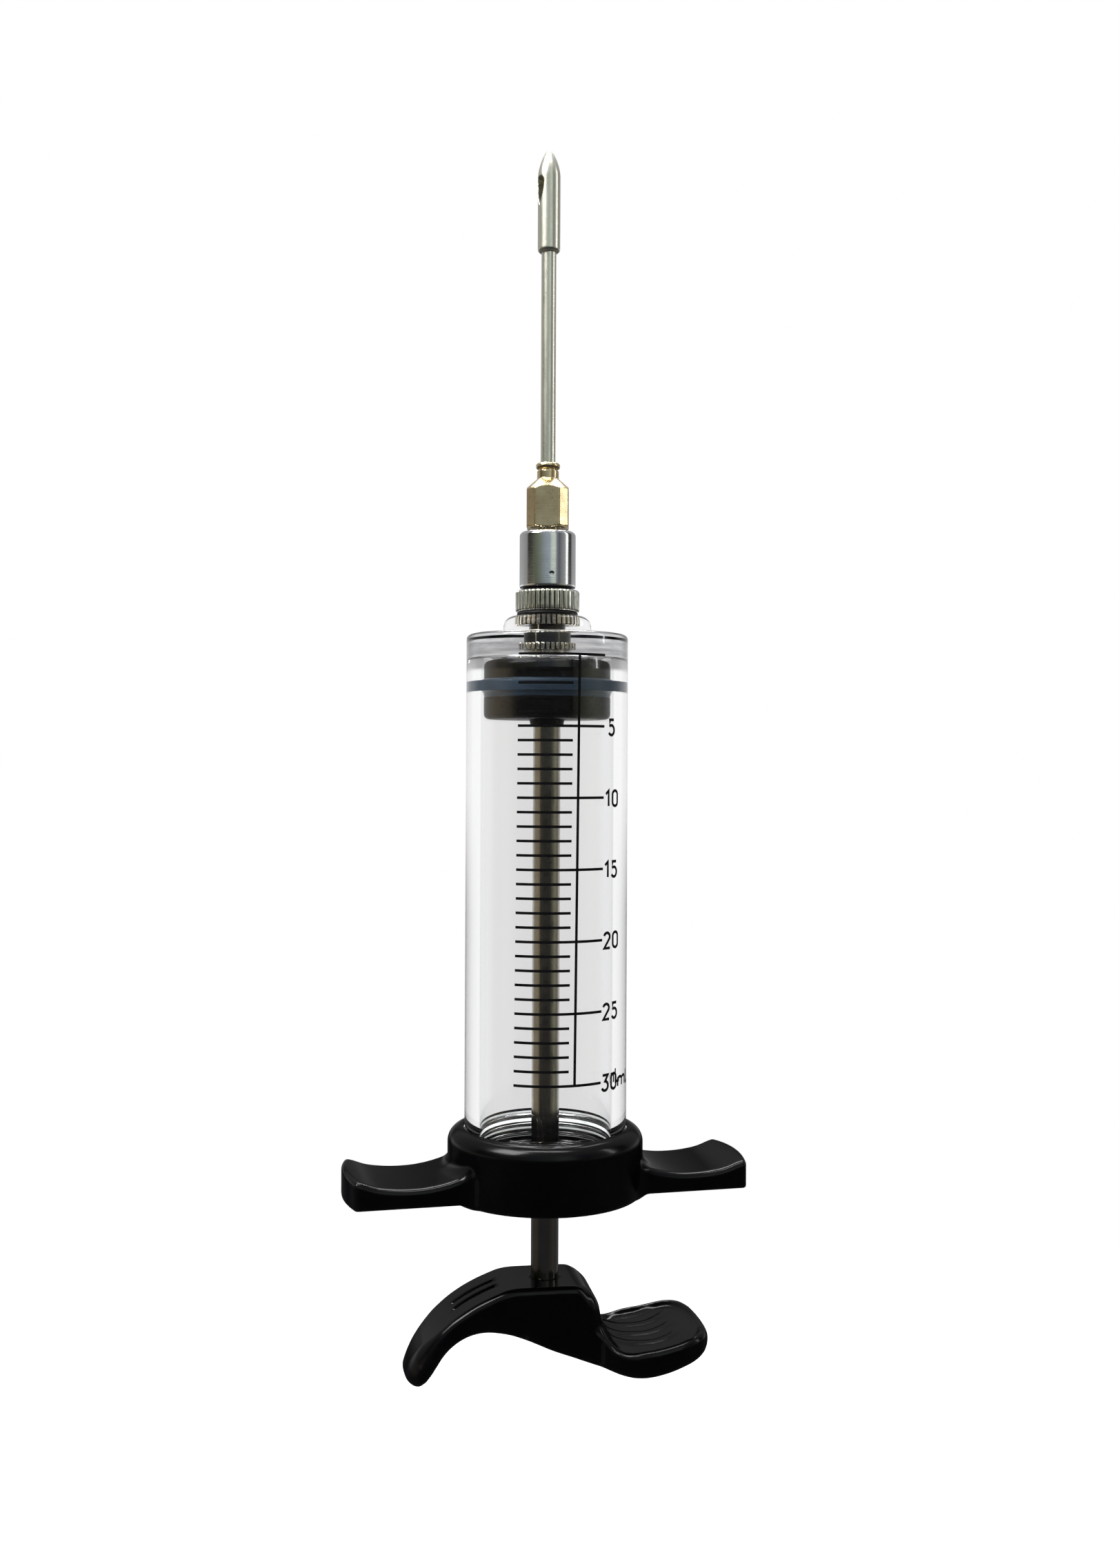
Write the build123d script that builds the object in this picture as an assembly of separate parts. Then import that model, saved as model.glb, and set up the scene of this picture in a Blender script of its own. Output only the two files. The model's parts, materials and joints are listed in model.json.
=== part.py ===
from build123d import *
import math
import os

# Dosing injector, 30 mL: clear screw-in barrel, rubber-sealed piston on a steel
# rod, finger grip, S-shaped palm handle, screwed-on luer nozzle and a needle
# with a closed point and a side port. All sizes in millimetres.
# Frame: origin at the centre of the finger grip's underside, on the plunger
# axis. +Z runs towards the needle point, +X along the right-hand finger wing,
# -Y is the side that carries the printed scale.
# In names, R is a radius, Z0 the handle end of a feature, Z1 its needle end.

# barrel
BARREL_R = 14.15
BORE_R = 11.50            # 2.407 mm of stroke per mL
BARREL_Z0 = 3.20
BARREL_Z1 = 97.60         # front face
BARREL_ROUND = 0.90
BORE_END_Z = 93.50        # inside of the front wall, 0 mL
BOSS_R = 7.70             # boss round the nozzle insert
BOSS_Z1 = 100.90
BOSS_ROUND = 2.00
BOSS_ROOT_ROUND = 0.50

# ring-groove thread between barrel and grip
THREAD_PITCH = 1.55
THREAD_N = 5
THREAD_Z0 = 4.50          # centre of the first groove
THREAD_HALF = 0.50        # half width of a groove at its mouth
THREAD_DEPTH = 0.62
THREAD_CLEAR = 0.08
THREAD_RELIEF = 0.35      # turned relief between the thread and the plain barrel
THREAD_CENTRES = [THREAD_Z0 + i * THREAD_PITCH for i in range(THREAD_N)]

# finger grip
GRIP_R = 17.10
GRIP_H = 11.80
GRIP_TOP_ROUND = 2.60
GRIP_BOTTOM_ROUND = 0.60
GRIP_FLOOR = 2.95
WING_SPAN = 35.90         # half span
WING_W = 8.60             # half width
WING_Z0 = 0.80
WING_EDGE = 0.70
WING_BOTTOM_EDGE = 0.40
WING_ROOT_ROUND = 1.00
WING_END_X = 34.30        # where the rounded end starts
WING_INNER_X = 8.00       # inner end, buried in the collar

# plunger rod and piston
ROD_R = 2.42
ROD_HOLE_R = ROD_R + 0.08
ROD_Z0 = -23.00           # end of the rod inside the handle
PISTON_R = 11.10
PISTON_FRONT_Z = 93.10
SEAL_Z1 = 89.80
SEAL_Z0 = 86.50
PISTON_REAR_Z = 82.80
SEAL_R = BORE_R - 0.05
SPIGOT_R = 5.00           # spigot of the front disc through the seal
PISTON_STUD_R = 1.80      # rod's stud in the piston
PISTON_STUD_Z0 = PISTON_REAR_Z + 1.2
PISTON_STUD_Z1 = 90.80
PISTON_BUSH_R = 3.20
PISTON_BUSH_Z1 = PISTON_STUD_Z1 + 0.40

# nozzle insert and luer connector
INSERT_FLANGE_R = 4.90
INSERT_FLANGE_Z0 = 99.20
INSERT_WAIST_R = 2.75
INSERT_BEAD_R = 3.35      # raised ring round the waist
INSERT_BEAD_Z0 = 94.75
INSERT_BEAD_Z1 = 95.90
INSERT_HOLE_Z0 = 96.40    # bottom of the hole for the connector's stub
INSERT_Z1 = 101.00
STUB_R = 1.95
STUB_HOLE_R = STUB_R + 0.05
STUB_Z0 = 96.70
FLOW_R = 0.75
GASKET_Z1 = 101.60
RING_R = 5.60
RING_Z1 = 105.45
KNURL_N = 40
KNURL_DEPTH = 0.32
KNURL_CUTTER = 0.50       # side of the square cutter
SLEEVE_R = 4.92
SLEEVE_Z0 = 105.75
SLEEVE_Z1 = 115.70
SLEEVE_WIDE_R = 4.30      # counterbore at the sleeve's rear mouth
SLEEVE_WIDE_Z1 = SLEEVE_Z0 + 0.60
SLEEVE_SEAT_R = 3.60      # seat of the sleeve on the connector
SLEEVE_SEAT_Z1 = SLEEVE_Z0 + 5.0
CONE_R0 = 2.12            # cone radius at the sleeve mouth
CONE_SLOPE = 0.03         # 6 % luer taper, as radius per length
CONE_Z1 = 121.50

# needle
HUB_Z0 = 116.20
HUB_BODY_Z1 = 123.45      # top of the square body's sides
HUB_SHOULDER_Z1 = 125.00  # top of the sloping shoulder
HUB_FLATS = 7.28          # across the flats of the square body
HUB_FACET = 4.25          # width of each flat, the corners are cut off
HUB_TURN = -15.5          # the flats' turn from the axes, degrees
SOCKET_Z1 = CONE_Z1 + 0.9
SOCKET_CLEAR = 0.03
TUBE_R = 1.30
TUBE_Z0 = 123.20
TUBE_Z1 = 168.60
POINT_R = 1.98
POINT_Z0 = 164.70
POINT_REAR_ROUND = 0.60
POINT_OGIVE_Z = 177.90
POINT_Z1 = 183.30
POINT_BORE_R = FLOW_R + 0.15
POINT_BORE_Z1 = 176.20
OGIVE_POWER = 1.75
OGIVE_STEPS = 12
PORT_AZ = 196.0           # direction the side port faces, degrees from +X
PORT_R = 1.05
PORT_Z = 176.90           # centre of the port's round end
PORT_STEPS = 24

# palm handle
HANDLE_TOP_Z = -14.85
HANDLE_W = 7.00           # half width of the arm and the block
PAD_W = 11.50             # half width of the thumb pad
HANDLE_TURN = -4.5        # turn against the wings, degrees
HANDLE_STUD_R = 1.98      # rod's stud in the handle
HANDLE_BUSH_R = 3.40
HANDLE_BUSH_Z0 = ROD_Z0 - 0.60
HANDLE_BUSH_Z1 = HANDLE_TOP_Z - 2.0
SECTION_POWER = 4.2       # 2 is an ellipse, larger is squarer
SECTION_POINTS = 28

# Top line of a wing from the collar outwards: (distance from the axis, z).
WING_TOP = [
    (15.0, 5.95), (16.5, 5.40), (18.0, 4.90), (20.7, 4.32), (23.5, 4.05),
    (27.0, 4.12), (30.5, 4.62), (33.0, 5.35), (34.6, 5.82), (36.5, 6.35),
]

# Pointed lower end of the side port: (offset across the port, z).
PORT_TAIL = [(-0.85, 175.3), (-0.42, 173.8), (0.0, 172.9), (0.42, 173.8), (0.85, 175.3)]

# Turned nose of the needle hub: (radius, z).
HUB_NOSE = [
    (0, 124.5), (1.90, 124.5), (1.90, 126.35), (1.72, 126.42), (1.72, 126.62), (1.95, 126.70),
    (2.12, 127.00), (2.12, 127.40), (1.95, 127.70), (1.62, 127.82), (0, 127.82),
]

# Handle cross-sections from the arm's tip (-X) to the pad's end (+X):
# top point x, z, bottom point x, z, half width in Y.
HANDLE_SECTIONS = [
    # hooked arm
    (-24.50, -30.90, -23.60, -31.35, 4.6),
    (-24.95, -30.00, -22.40, -31.35, 6.1),
    (-24.55, -28.60, -21.10, -30.40, HANDLE_W - 0.1),
    (-23.60, -26.90, -20.00, -28.60, HANDLE_W),
    (-22.00, -24.60, -18.90, -26.80, HANDLE_W),
    (-19.60, -22.20, -17.40, -24.80, HANDLE_W),
    (-16.30, -19.40, -15.00, -23.10, HANDLE_W),
    (-12.30, -17.05, -12.30, -22.25, HANDLE_W),
    (-7.70, -15.20, -9.00, -22.25, HANDLE_W),
    # block under the rod
    (-3.00, HANDLE_TOP_Z, -4.60, -23.60, HANDLE_W),
    (2.00, HANDLE_TOP_Z, 0.50, -25.80, HANDLE_W),
    (5.60, HANDLE_TOP_Z - 0.25, 4.50, -27.45, HANDLE_W),
    (7.90, -17.00, 7.40, -28.50, HANDLE_W + 0.1),
    (8.90, -20.20, 9.20, -28.90, HANDLE_W + 0.7),
    # thumb pad
    (10.20, -24.00, 11.00, -29.35, PAD_W - 2.2),
    (12.80, -25.35, 13.40, -29.75, PAD_W - 0.5),
    (16.80, -24.95, 17.20, -29.60, PAD_W),
    (20.80, -24.30, 21.40, -28.80, PAD_W - 0.2),
    (24.60, -23.50, 25.20, -27.70, PAD_W - 1.6),
    (27.20, -23.20, 27.80, -26.70, PAD_W - 4.7),
    (28.40, -24.20, 28.70, -25.60, 3.0),
]


# ---- helpers ----

def turned(points):
    """Solid of revolution about Z from (radius, z) points."""
    outline = [(r, 0, z) for r, z in points]
    return revolve(make_face(Polyline(*outline, close=True)), Axis.Z, 360)


def rod_z(radius, z0, z1):
    """Cylinder on the Z axis."""
    return Pos(0, 0, (z0 + z1) / 2) * Cylinder(radius, z1 - z0)


def arc_xz(x0, z0, x1, z1, centre_x, centre_z):
    """Arc in the XZ plane from (x0, z0) to (x1, z1) about the centre, the short way."""
    radius = math.hypot(x0 - centre_x, z0 - centre_z)
    mid_x, mid_z = (x0 + x1) / 2 - centre_x, (z0 + z1) / 2 - centre_z
    k = radius / math.hypot(mid_x, mid_z)
    middle = (centre_x + mid_x * k, 0, centre_z + mid_z * k)
    return ThreePointArc((x0, 0, z0), middle, (x1, 0, z1))


def biggest(shape):
    return max(shape.solids(), key=lambda s: s.volume)


def rim(shape, radius, z):
    """Circular edges of the given radius at height z."""
    return [e for e in shape.edges().filter_by(GeomType.CIRCLE)
            if abs(e.radius - radius) < 1e-4 and abs(e.center().Z - z) < 1e-4]


def cone_radius(z):
    return CONE_R0 - CONE_SLOPE * (z - SLEEVE_Z1)


# ---- barrel and nozzle ----

def barrel():
    """Thick clear tube with a closed front wall, a boss and an outside thread."""
    outline = [(0, BARREL_Z0), (BARREL_R - 0.5, BARREL_Z0), (BARREL_R, BARREL_Z0 + 0.5)]
    floor_r = BARREL_R - THREAD_DEPTH
    for i, z in enumerate(THREAD_CENTRES):
        relief = THREAD_RELIEF if i == THREAD_N - 1 else 0
        outline += [(BARREL_R, z - THREAD_HALF), (floor_r, z - 0.12),
                    (floor_r, z + 0.12), (BARREL_R - relief, z + THREAD_HALF)]
    outline += [(BARREL_R - THREAD_RELIEF, GRIP_H + 0.08), (BARREL_R, GRIP_H + 0.22),
                (BARREL_R, BARREL_Z1), (BOSS_R, BARREL_Z1), (BOSS_R, BOSS_Z1), (0, BOSS_Z1)]
    outside = turned(outline)
    outside = fillet(rim(outside, BARREL_R, BARREL_Z1), BARREL_ROUND)
    outside = fillet(rim(outside, BOSS_R, BOSS_Z1), BOSS_ROUND)
    outside = fillet(rim(outside, BOSS_R, BARREL_Z1), BOSS_ROOT_ROUND)

    bore = turned([
        (0, BARREL_Z0 - 1), (BORE_R + 0.5, BARREL_Z0 - 1), (BORE_R + 0.5, BARREL_Z0),
        (BORE_R, BARREL_Z0 + 0.8), (BORE_R, BORE_END_Z - 0.4), (BORE_R - 0.4, BORE_END_Z),
        (0, BORE_END_Z),
    ])
    # room for the insert, run past both faces of the wall
    insert_room = turned([
        (0, BORE_END_Z - 0.5), (0, BOSS_Z1 + 0.5), (INSERT_FLANGE_R, BOSS_Z1 + 0.5),
        (INSERT_FLANGE_R, INSERT_FLANGE_Z0), (INSERT_WAIST_R, INSERT_FLANGE_Z0),
        (INSERT_WAIST_R, INSERT_BEAD_Z1), (INSERT_BEAD_R, INSERT_BEAD_Z1),
        (INSERT_BEAD_R, INSERT_BEAD_Z0), (INSERT_WAIST_R, INSERT_BEAD_Z0),
        (INSERT_WAIST_R, BORE_END_Z - 0.5),
    ])
    return biggest(outside - bore - insert_room)


def nozzle_insert():
    """Metal bush moulded into the front wall."""
    return turned([
        (STUB_HOLE_R, INSERT_HOLE_Z0), (STUB_HOLE_R, INSERT_Z1 - 0.35),
        (STUB_HOLE_R + 0.35, INSERT_Z1), (INSERT_FLANGE_R, INSERT_Z1),
        (INSERT_FLANGE_R, INSERT_FLANGE_Z0), (INSERT_WAIST_R, INSERT_FLANGE_Z0),
        (INSERT_WAIST_R, INSERT_BEAD_Z1), (INSERT_BEAD_R, INSERT_BEAD_Z1),
        (INSERT_BEAD_R, INSERT_BEAD_Z0), (INSERT_WAIST_R, INSERT_BEAD_Z0),
        (INSERT_WAIST_R, BORE_END_Z), (FLOW_R, BORE_END_Z), (FLOW_R, INSERT_HOLE_Z0),
    ])


def nozzle_gasket():
    """Gasket between the insert and the connector."""
    inner_r, face_r, outer_r = 2.60, 5.20, 5.35
    z0, z1 = INSERT_Z1 + 0.01, GASKET_Z1 - 0.01
    return turned([(inner_r, z0), (face_r, z0), (outer_r, INSERT_Z1 + 0.15),
                   (outer_r, GASKET_Z1 - 0.16), (face_r, z1), (inner_r, z1)])


def luer_connector():
    """Knurled ring with a stub below and the male luer cone above."""
    tip_r = cone_radius(CONE_Z1)
    body = turned([
        (FLOW_R, STUB_Z0), (STUB_R - 0.3, STUB_Z0), (STUB_R, STUB_Z0 + 0.3), (STUB_R, GASKET_Z1),
        (RING_R - 0.35, GASKET_Z1), (RING_R, GASKET_Z1 + 0.35), (RING_R, RING_Z1 - 0.60),
        (RING_R - 0.18, RING_Z1 - 0.18), (RING_R - 0.60, RING_Z1), (SLEEVE_WIDE_R, RING_Z1),
        (SLEEVE_WIDE_R, SLEEVE_WIDE_Z1), (SLEEVE_SEAT_R, SLEEVE_WIDE_Z1),
        (SLEEVE_SEAT_R, SLEEVE_SEAT_Z1), (2.75, SLEEVE_SEAT_Z1),
        (CONE_R0 + 0.09, SLEEVE_SEAT_Z1), (CONE_R0, SLEEVE_Z1),
        (tip_r, CONE_Z1 - 0.2), (tip_r - 0.2, CONE_Z1), (FLOW_R, CONE_Z1),
    ])
    # straight V cuts, made by the inner corner of a square bar
    z0, z1 = GASKET_Z1 - 0.2, RING_Z1 + 0.2
    cutter = Rot(0, 0, 45) * Box(KNURL_CUTTER, KNURL_CUTTER, z1 - z0)
    cutter = Pos(RING_R, 0, (z0 + z1) / 2) * cutter
    cutter = Pos(KNURL_CUTTER / math.sqrt(2) - KNURL_DEPTH, 0, 0) * cutter
    return biggest(body - [Rot(0, 0, i * 360 / KNURL_N) * cutter for i in range(KNURL_N)])


def chrome_sleeve():
    """Sleeve pressed over the connector, with an open mouth round the cone."""
    mouth_r = 3.10
    sleeve = turned([
        (SLEEVE_WIDE_R, SLEEVE_Z0), (SLEEVE_R - 0.12, SLEEVE_Z0), (SLEEVE_R, SLEEVE_Z0 + 0.12),
        (SLEEVE_R, SLEEVE_Z1 - 0.90), (SLEEVE_R - 0.10, SLEEVE_Z1 - 0.45),
        (SLEEVE_R - 0.38, SLEEVE_Z1 - 0.12), (SLEEVE_R - 0.85, SLEEVE_Z1),
        (mouth_r + 0.25, SLEEVE_Z1), (mouth_r, SLEEVE_Z1 - 0.25), (mouth_r, SLEEVE_SEAT_Z1),
        (SLEEVE_SEAT_R, SLEEVE_SEAT_Z1), (SLEEVE_SEAT_R, SLEEVE_WIDE_Z1),
        (SLEEVE_WIDE_R, SLEEVE_WIDE_Z1),
    ])
    dimple = Pos(0.35, -SLEEVE_R - 0.22, 108.9) * Sphere(0.50)
    return biggest(sleeve - dimple)


# ---- needle ----

def needle_hub():
    """Brass hub: square body with cut corners, turned nose, luer socket."""
    height = HUB_SHOULDER_Z1 - HUB_Z0
    corners = math.sqrt(2) * (HUB_FLATS / 2 + HUB_FACET / 2)  # across the cut corners
    middle = Pos(0, 0, HUB_Z0 + height / 2)
    bar = middle * Rot(0, 0, HUB_TURN) * Box(HUB_FLATS, HUB_FLATS, height)
    bar = bar & (middle * Rot(0, 0, HUB_TURN + 45) * Box(corners, corners, height))
    envelope = turned([
        (0, HUB_Z0), (3.75, HUB_Z0), (4.30, HUB_Z0 + 0.40), (4.30, HUB_BODY_Z1 - 0.60),
        (HUB_FLATS / 2, HUB_BODY_Z1), (1.92, HUB_SHOULDER_Z1), (0, HUB_SHOULDER_Z1),
    ])
    hub = (bar & envelope) + turned(HUB_NOSE)
    socket = turned([
        (0, HUB_Z0 - 1), (cone_radius(HUB_Z0 - 1) + SOCKET_CLEAR, HUB_Z0 - 1),
        (cone_radius(SOCKET_Z1) + SOCKET_CLEAR, SOCKET_Z1), (0, SOCKET_Z1),
    ])
    flow_hole = rod_z(FLOW_R, SOCKET_Z1 - 0.5, 124)
    tube_hole = rod_z(TUBE_R, TUBE_Z0, 129)
    return biggest(hub - socket - flow_hole - tube_hole)


def needle_tube():
    return biggest(rod_z(TUBE_R, TUBE_Z0, TUBE_Z1) - rod_z(FLOW_R, TUBE_Z0 - 1, TUBE_Z1 + 1))


def needle_point():
    """Ogive nose with a blind bore and a teardrop port on the -X side."""
    ogive = []
    for i in range(OGIVE_STEPS):
        t = i / OGIVE_STEPS
        ogive.append((POINT_R * (1 - t ** OGIVE_POWER), 0,
                      POINT_OGIVE_Z + t * (POINT_Z1 - POINT_OGIVE_Z)))
    ogive.append((0, 0, POINT_Z1))
    face_r = POINT_R - POINT_REAR_ROUND
    round_z = POINT_Z0 + POINT_REAR_ROUND
    profile = Curve() + [
        Line((0, 0, POINT_Z0), (face_r, 0, POINT_Z0)),
        arc_xz(face_r, POINT_Z0, POINT_R, round_z, face_r, round_z),
        Line((POINT_R, 0, round_z), (POINT_R, 0, POINT_OGIVE_Z)),
        Spline(ogive, tangents=[(0, 0, 1), (-0.55, 0, 1)]),
        Line((0, 0, POINT_Z1), (0, 0, POINT_Z0)),
    ]
    point = revolve(make_face(profile), Axis.Z, 360)
    point = (point - rod_z(TUBE_R, POINT_Z0 - 1, TUBE_Z1)
             - rod_z(POINT_BORE_R, TUBE_Z1 - 0.5, POINT_BORE_Z1))

    angles = [math.pi * i / PORT_STEPS for i in range(PORT_STEPS + 1)]
    outline = [(PORT_R * math.cos(a), PORT_Z + PORT_R * math.sin(a)) for a in angles] + PORT_TAIL
    port_face = make_face(Polyline(*[(0, y, z) for y, z in outline], close=True))
    port = extrude(port_face, 3.0, dir=(1, 0, 0))
    return biggest(point - Rot(0, 0, PORT_AZ) * port)


# ---- piston and rod ----

def piston_front_disc():
    """Front disc with a spigot through the seal and a hole for the bush."""
    disc = turned([
        (0, SEAL_Z1), (0, PISTON_FRONT_Z), (PISTON_R - 1.20, PISTON_FRONT_Z),
        (PISTON_R - 0.60, PISTON_FRONT_Z - 0.16), (PISTON_R - 0.16, PISTON_FRONT_Z - 0.60),
        (PISTON_R, PISTON_FRONT_Z - 1.20), (PISTON_R, SEAL_Z1),
    ])
    spigot = turned([(0, SEAL_Z0), (SPIGOT_R, SEAL_Z0), (SPIGOT_R, SEAL_Z1 + 0.2),
                     (0, SEAL_Z1 + 0.2)])
    bush_hole = turned([(0, SEAL_Z0 - 1), (PISTON_BUSH_R, SEAL_Z0 - 1),
                        (PISTON_BUSH_R, PISTON_BUSH_Z1), (0, PISTON_BUSH_Z1)])
    return biggest(disc + spigot - bush_hole)


def piston_bush():
    """Bush moulded into the front disc, closed in front, takes the rod's stud."""
    return turned([
        (PISTON_STUD_R, SEAL_Z0), (PISTON_BUSH_R, SEAL_Z0), (PISTON_BUSH_R, PISTON_BUSH_Z1),
        (0, PISTON_BUSH_Z1), (0, PISTON_STUD_Z1), (PISTON_STUD_R, PISTON_STUD_Z1),
    ])


def piston_seal():
    hole_r = SPIGOT_R + 0.06
    return turned([
        (hole_r, SEAL_Z0 + 0.04), (PISTON_R - 0.15, SEAL_Z0 + 0.04),
        (PISTON_R - 0.02, SEAL_Z0 + 0.25), (PISTON_R + 0.02, SEAL_Z0 + 0.65),
        (PISTON_R + 0.15, SEAL_Z0 + 0.92), (SEAL_R, SEAL_Z0 + 1.08), (SEAL_R, SEAL_Z1 - 0.42),
        (PISTON_R + 0.12, SEAL_Z1 - 0.25), (PISTON_R - 0.02, SEAL_Z1 - 0.10),
        (PISTON_R - 0.15, SEAL_Z1 - 0.04), (hole_r, SEAL_Z1 - 0.04),
    ])


def piston_rear_disc():
    """Rear disc with a short collar round the rod."""
    return turned([
        (PISTON_STUD_R, SEAL_Z0), (PISTON_R, SEAL_Z0), (PISTON_R, PISTON_REAR_Z + 0.85),
        (PISTON_R - 0.15, PISTON_REAR_Z + 0.36), (PISTON_R - 0.40, PISTON_REAR_Z + 0.11),
        (PISTON_R - 0.85, PISTON_REAR_Z), (3.20, PISTON_REAR_Z), (2.95, PISTON_REAR_Z - 0.9),
        (ROD_R, PISTON_REAR_Z - 1.3), (ROD_R, PISTON_STUD_Z0), (PISTON_STUD_R, PISTON_STUD_Z0),
    ])


def plunger_rod():
    """Plain steel rod with a stud at each end."""
    return turned([
        (0, ROD_Z0), (HANDLE_STUD_R - 0.28, ROD_Z0), (HANDLE_STUD_R, ROD_Z0 + 0.30),
        (HANDLE_STUD_R, HANDLE_BUSH_Z1), (ROD_R, HANDLE_BUSH_Z1), (ROD_R, PISTON_STUD_Z0),
        (PISTON_STUD_R, PISTON_STUD_Z0), (PISTON_STUD_R, PISTON_STUD_Z1 - 0.30),
        (PISTON_STUD_R - 0.30, PISTON_STUD_Z1), (0, PISTON_STUD_Z1),
    ])


# ---- finger grip ----

def grip_collar():
    """Solid collar, before it is bored."""
    low, high = GRIP_BOTTOM_ROUND, GRIP_TOP_ROUND
    profile = Curve() + [
        Line((0, 0, 0), (GRIP_R - low, 0, 0)),
        arc_xz(GRIP_R - low, 0, GRIP_R, low, GRIP_R - low, low),
        Line((GRIP_R, 0, low), (GRIP_R, 0, GRIP_H - high)),
        arc_xz(GRIP_R, GRIP_H - high, GRIP_R - high, GRIP_H, GRIP_R - high, GRIP_H - high),
        Line((GRIP_R - high, 0, GRIP_H), (0, 0, GRIP_H)),
        Line((0, 0, GRIP_H), (0, 0, 0)),
    ]
    return revolve(make_face(profile), Axis.Z, 360)


def grip_wing(side):
    """Wing on the +X (side 1) or -X (side -1) side: side view cut by the plan."""
    root_x, root_z = WING_TOP[0]
    outer_x, outer_z = WING_TOP[-1]
    top = Spline([(side * x, 0, z) for x, z in WING_TOP])
    inner, outer, end = side * WING_INNER_X, side * outer_x, side * WING_END_X
    side_view = Curve() + [
        Line((inner, 0, WING_Z0), (outer, 0, WING_Z0)),
        Line((outer, 0, WING_Z0), (outer, 0, outer_z)),
        top,
        Line((side * root_x, 0, root_z), (inner, 0, root_z)),
        Line((inner, 0, root_z), (inner, 0, WING_Z0)),
    ]
    plan_x = side * 6.0
    plan = Curve() + [
        Line((plan_x, -WING_W), (end, -WING_W)),
        ThreePointArc((end, -WING_W), (side * WING_SPAN, 0), (end, WING_W)),
        Line((end, WING_W), (plan_x, WING_W)),
        Line((plan_x, WING_W), (plan_x, -WING_W)),
    ]
    body = extrude(make_face(side_view), 12.0, dir=(0, 1, 0), both=True)
    wing = biggest(body & extrude(make_face(plan), 20.0, dir=(0, 0, 1), both=True))

    def off_inner_end(edge):
        return abs(abs(edge.center().X) - WING_INNER_X) > 0.2

    corners = [e for e in wing.edges().filter_by(Axis.Z) if abs(e.center().X) > 30]
    wing = fillet(corners, WING_EDGE + 0.4)
    # The wing keeps sharp top edges if this fillet fails.
    try:
        wing = fillet([e for e in wing.edges()
                       if e.center().Z > 3.6 and abs(e.center().X) > 14.0
                       and e.bounding_box().size.Z < 3.5 and not e.is_closed
                       and off_inner_end(e)], WING_EDGE)
    except Exception:
        pass
    # The wing keeps sharp bottom edges if this fillet fails.
    try:
        wing = fillet([e for e in wing.edges()
                       if abs(e.center().Z - WING_Z0) < 1e-3 and off_inner_end(e)],
                      WING_BOTTOM_EDGE)
    except Exception:
        pass
    return wing


def finger_grip():
    """Threaded collar with two wings."""
    grip = grip_collar() + grip_wing(1) + grip_wing(-1)
    roots = [e for e in grip.edges()
             if abs(math.hypot(e.center().X, e.center().Y) - GRIP_R) < 0.9
             and 1.2 < e.center().Z < 7.5 and abs(e.center().Y) > 3.0
             and abs(e.center().X) > 10 and e.bounding_box().size.Z > 1.5]
    # The wing roots stay sharp if this fillet fails.
    try:
        grip = fillet(roots, WING_ROOT_ROUND)
    except Exception:
        pass

    bore_r = BARREL_R + THREAD_CLEAR
    crest_r = bore_r - THREAD_DEPTH
    half = THREAD_HALF - 0.09
    bore = [(0, -1), (ROD_HOLE_R, -1), (ROD_HOLE_R, GRIP_FLOOR), (bore_r, GRIP_FLOOR)]
    for z in THREAD_CENTRES:
        bore += [(bore_r, z - half), (crest_r, z - 0.05), (crest_r, z + 0.05), (bore_r, z + half)]
    bore += [(bore_r, GRIP_H - 0.25), (bore_r + 0.25, GRIP_H), (bore_r + 0.25, GRIP_H + 1),
             (0, GRIP_H + 1)]
    return biggest(grip - turned(bore))


# ---- palm handle ----

def handle_section(top_x, top_z, bottom_x, bottom_z, half_width):
    """Superellipse face between the top and bottom points."""
    points = []
    for i in range(SECTION_POINTS):
        angle = 2 * math.pi * (i + 0.5) / SECTION_POINTS
        across, up = math.cos(angle), math.sin(angle)
        y = math.copysign(abs(across) ** (2 / SECTION_POWER), across) * half_width
        v = math.copysign(abs(up) ** (2 / SECTION_POWER), up) * 0.5
        points.append((top_x * (0.5 + v) + bottom_x * (0.5 - v), y,
                       top_z * (0.5 + v) + bottom_z * (0.5 - v)))
    return make_face(Spline(points, periodic=True))


def palm_handle():
    """Hooked arm at -X, block under the rod, broad thumb pad at +X."""
    handle = Rot(0, 0, HANDLE_TURN) * loft([handle_section(*row) for row in HANDLE_SECTIONS])
    return biggest(handle - rod_z(ROD_R, HANDLE_BUSH_Z1, 0)
                   - rod_z(HANDLE_BUSH_R, HANDLE_BUSH_Z0, HANDLE_BUSH_Z1))


def handle_bush():
    """Brass bush moulded into the handle, closed below the rod's stud."""
    return turned([
        (HANDLE_STUD_R, HANDLE_BUSH_Z1), (HANDLE_BUSH_R, HANDLE_BUSH_Z1),
        (HANDLE_BUSH_R, HANDLE_BUSH_Z0), (0, HANDLE_BUSH_Z0), (0, ROD_Z0),
        (HANDLE_STUD_R, ROD_Z0),
    ])


# Each piece is saved under its function's name.
PIECES = [
    barrel, nozzle_insert, nozzle_gasket, luer_connector, chrome_sleeve,
    needle_hub, needle_tube, needle_point,
    piston_front_disc, piston_bush, piston_seal, piston_rear_disc, plunger_rod,
    finger_grip, palm_handle, handle_bush,
]

os.makedirs("parts", exist_ok=True)
for piece in PIECES:
    export_step(piece(), f"parts/{piece.__name__}.step")
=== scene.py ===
"""A 30 mL syringe standing on the Z axis, needle up, palm handle at the bottom.

The finger grip's wings run along X and the printed scale faces -Y, turned a little to -X.
Part sizes are in mm, materials and the studio in metres. Outlines are (radius, height).
"""
import json
import math

import bpy
import numpy as np
from mathutils import Matrix, Vector


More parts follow.
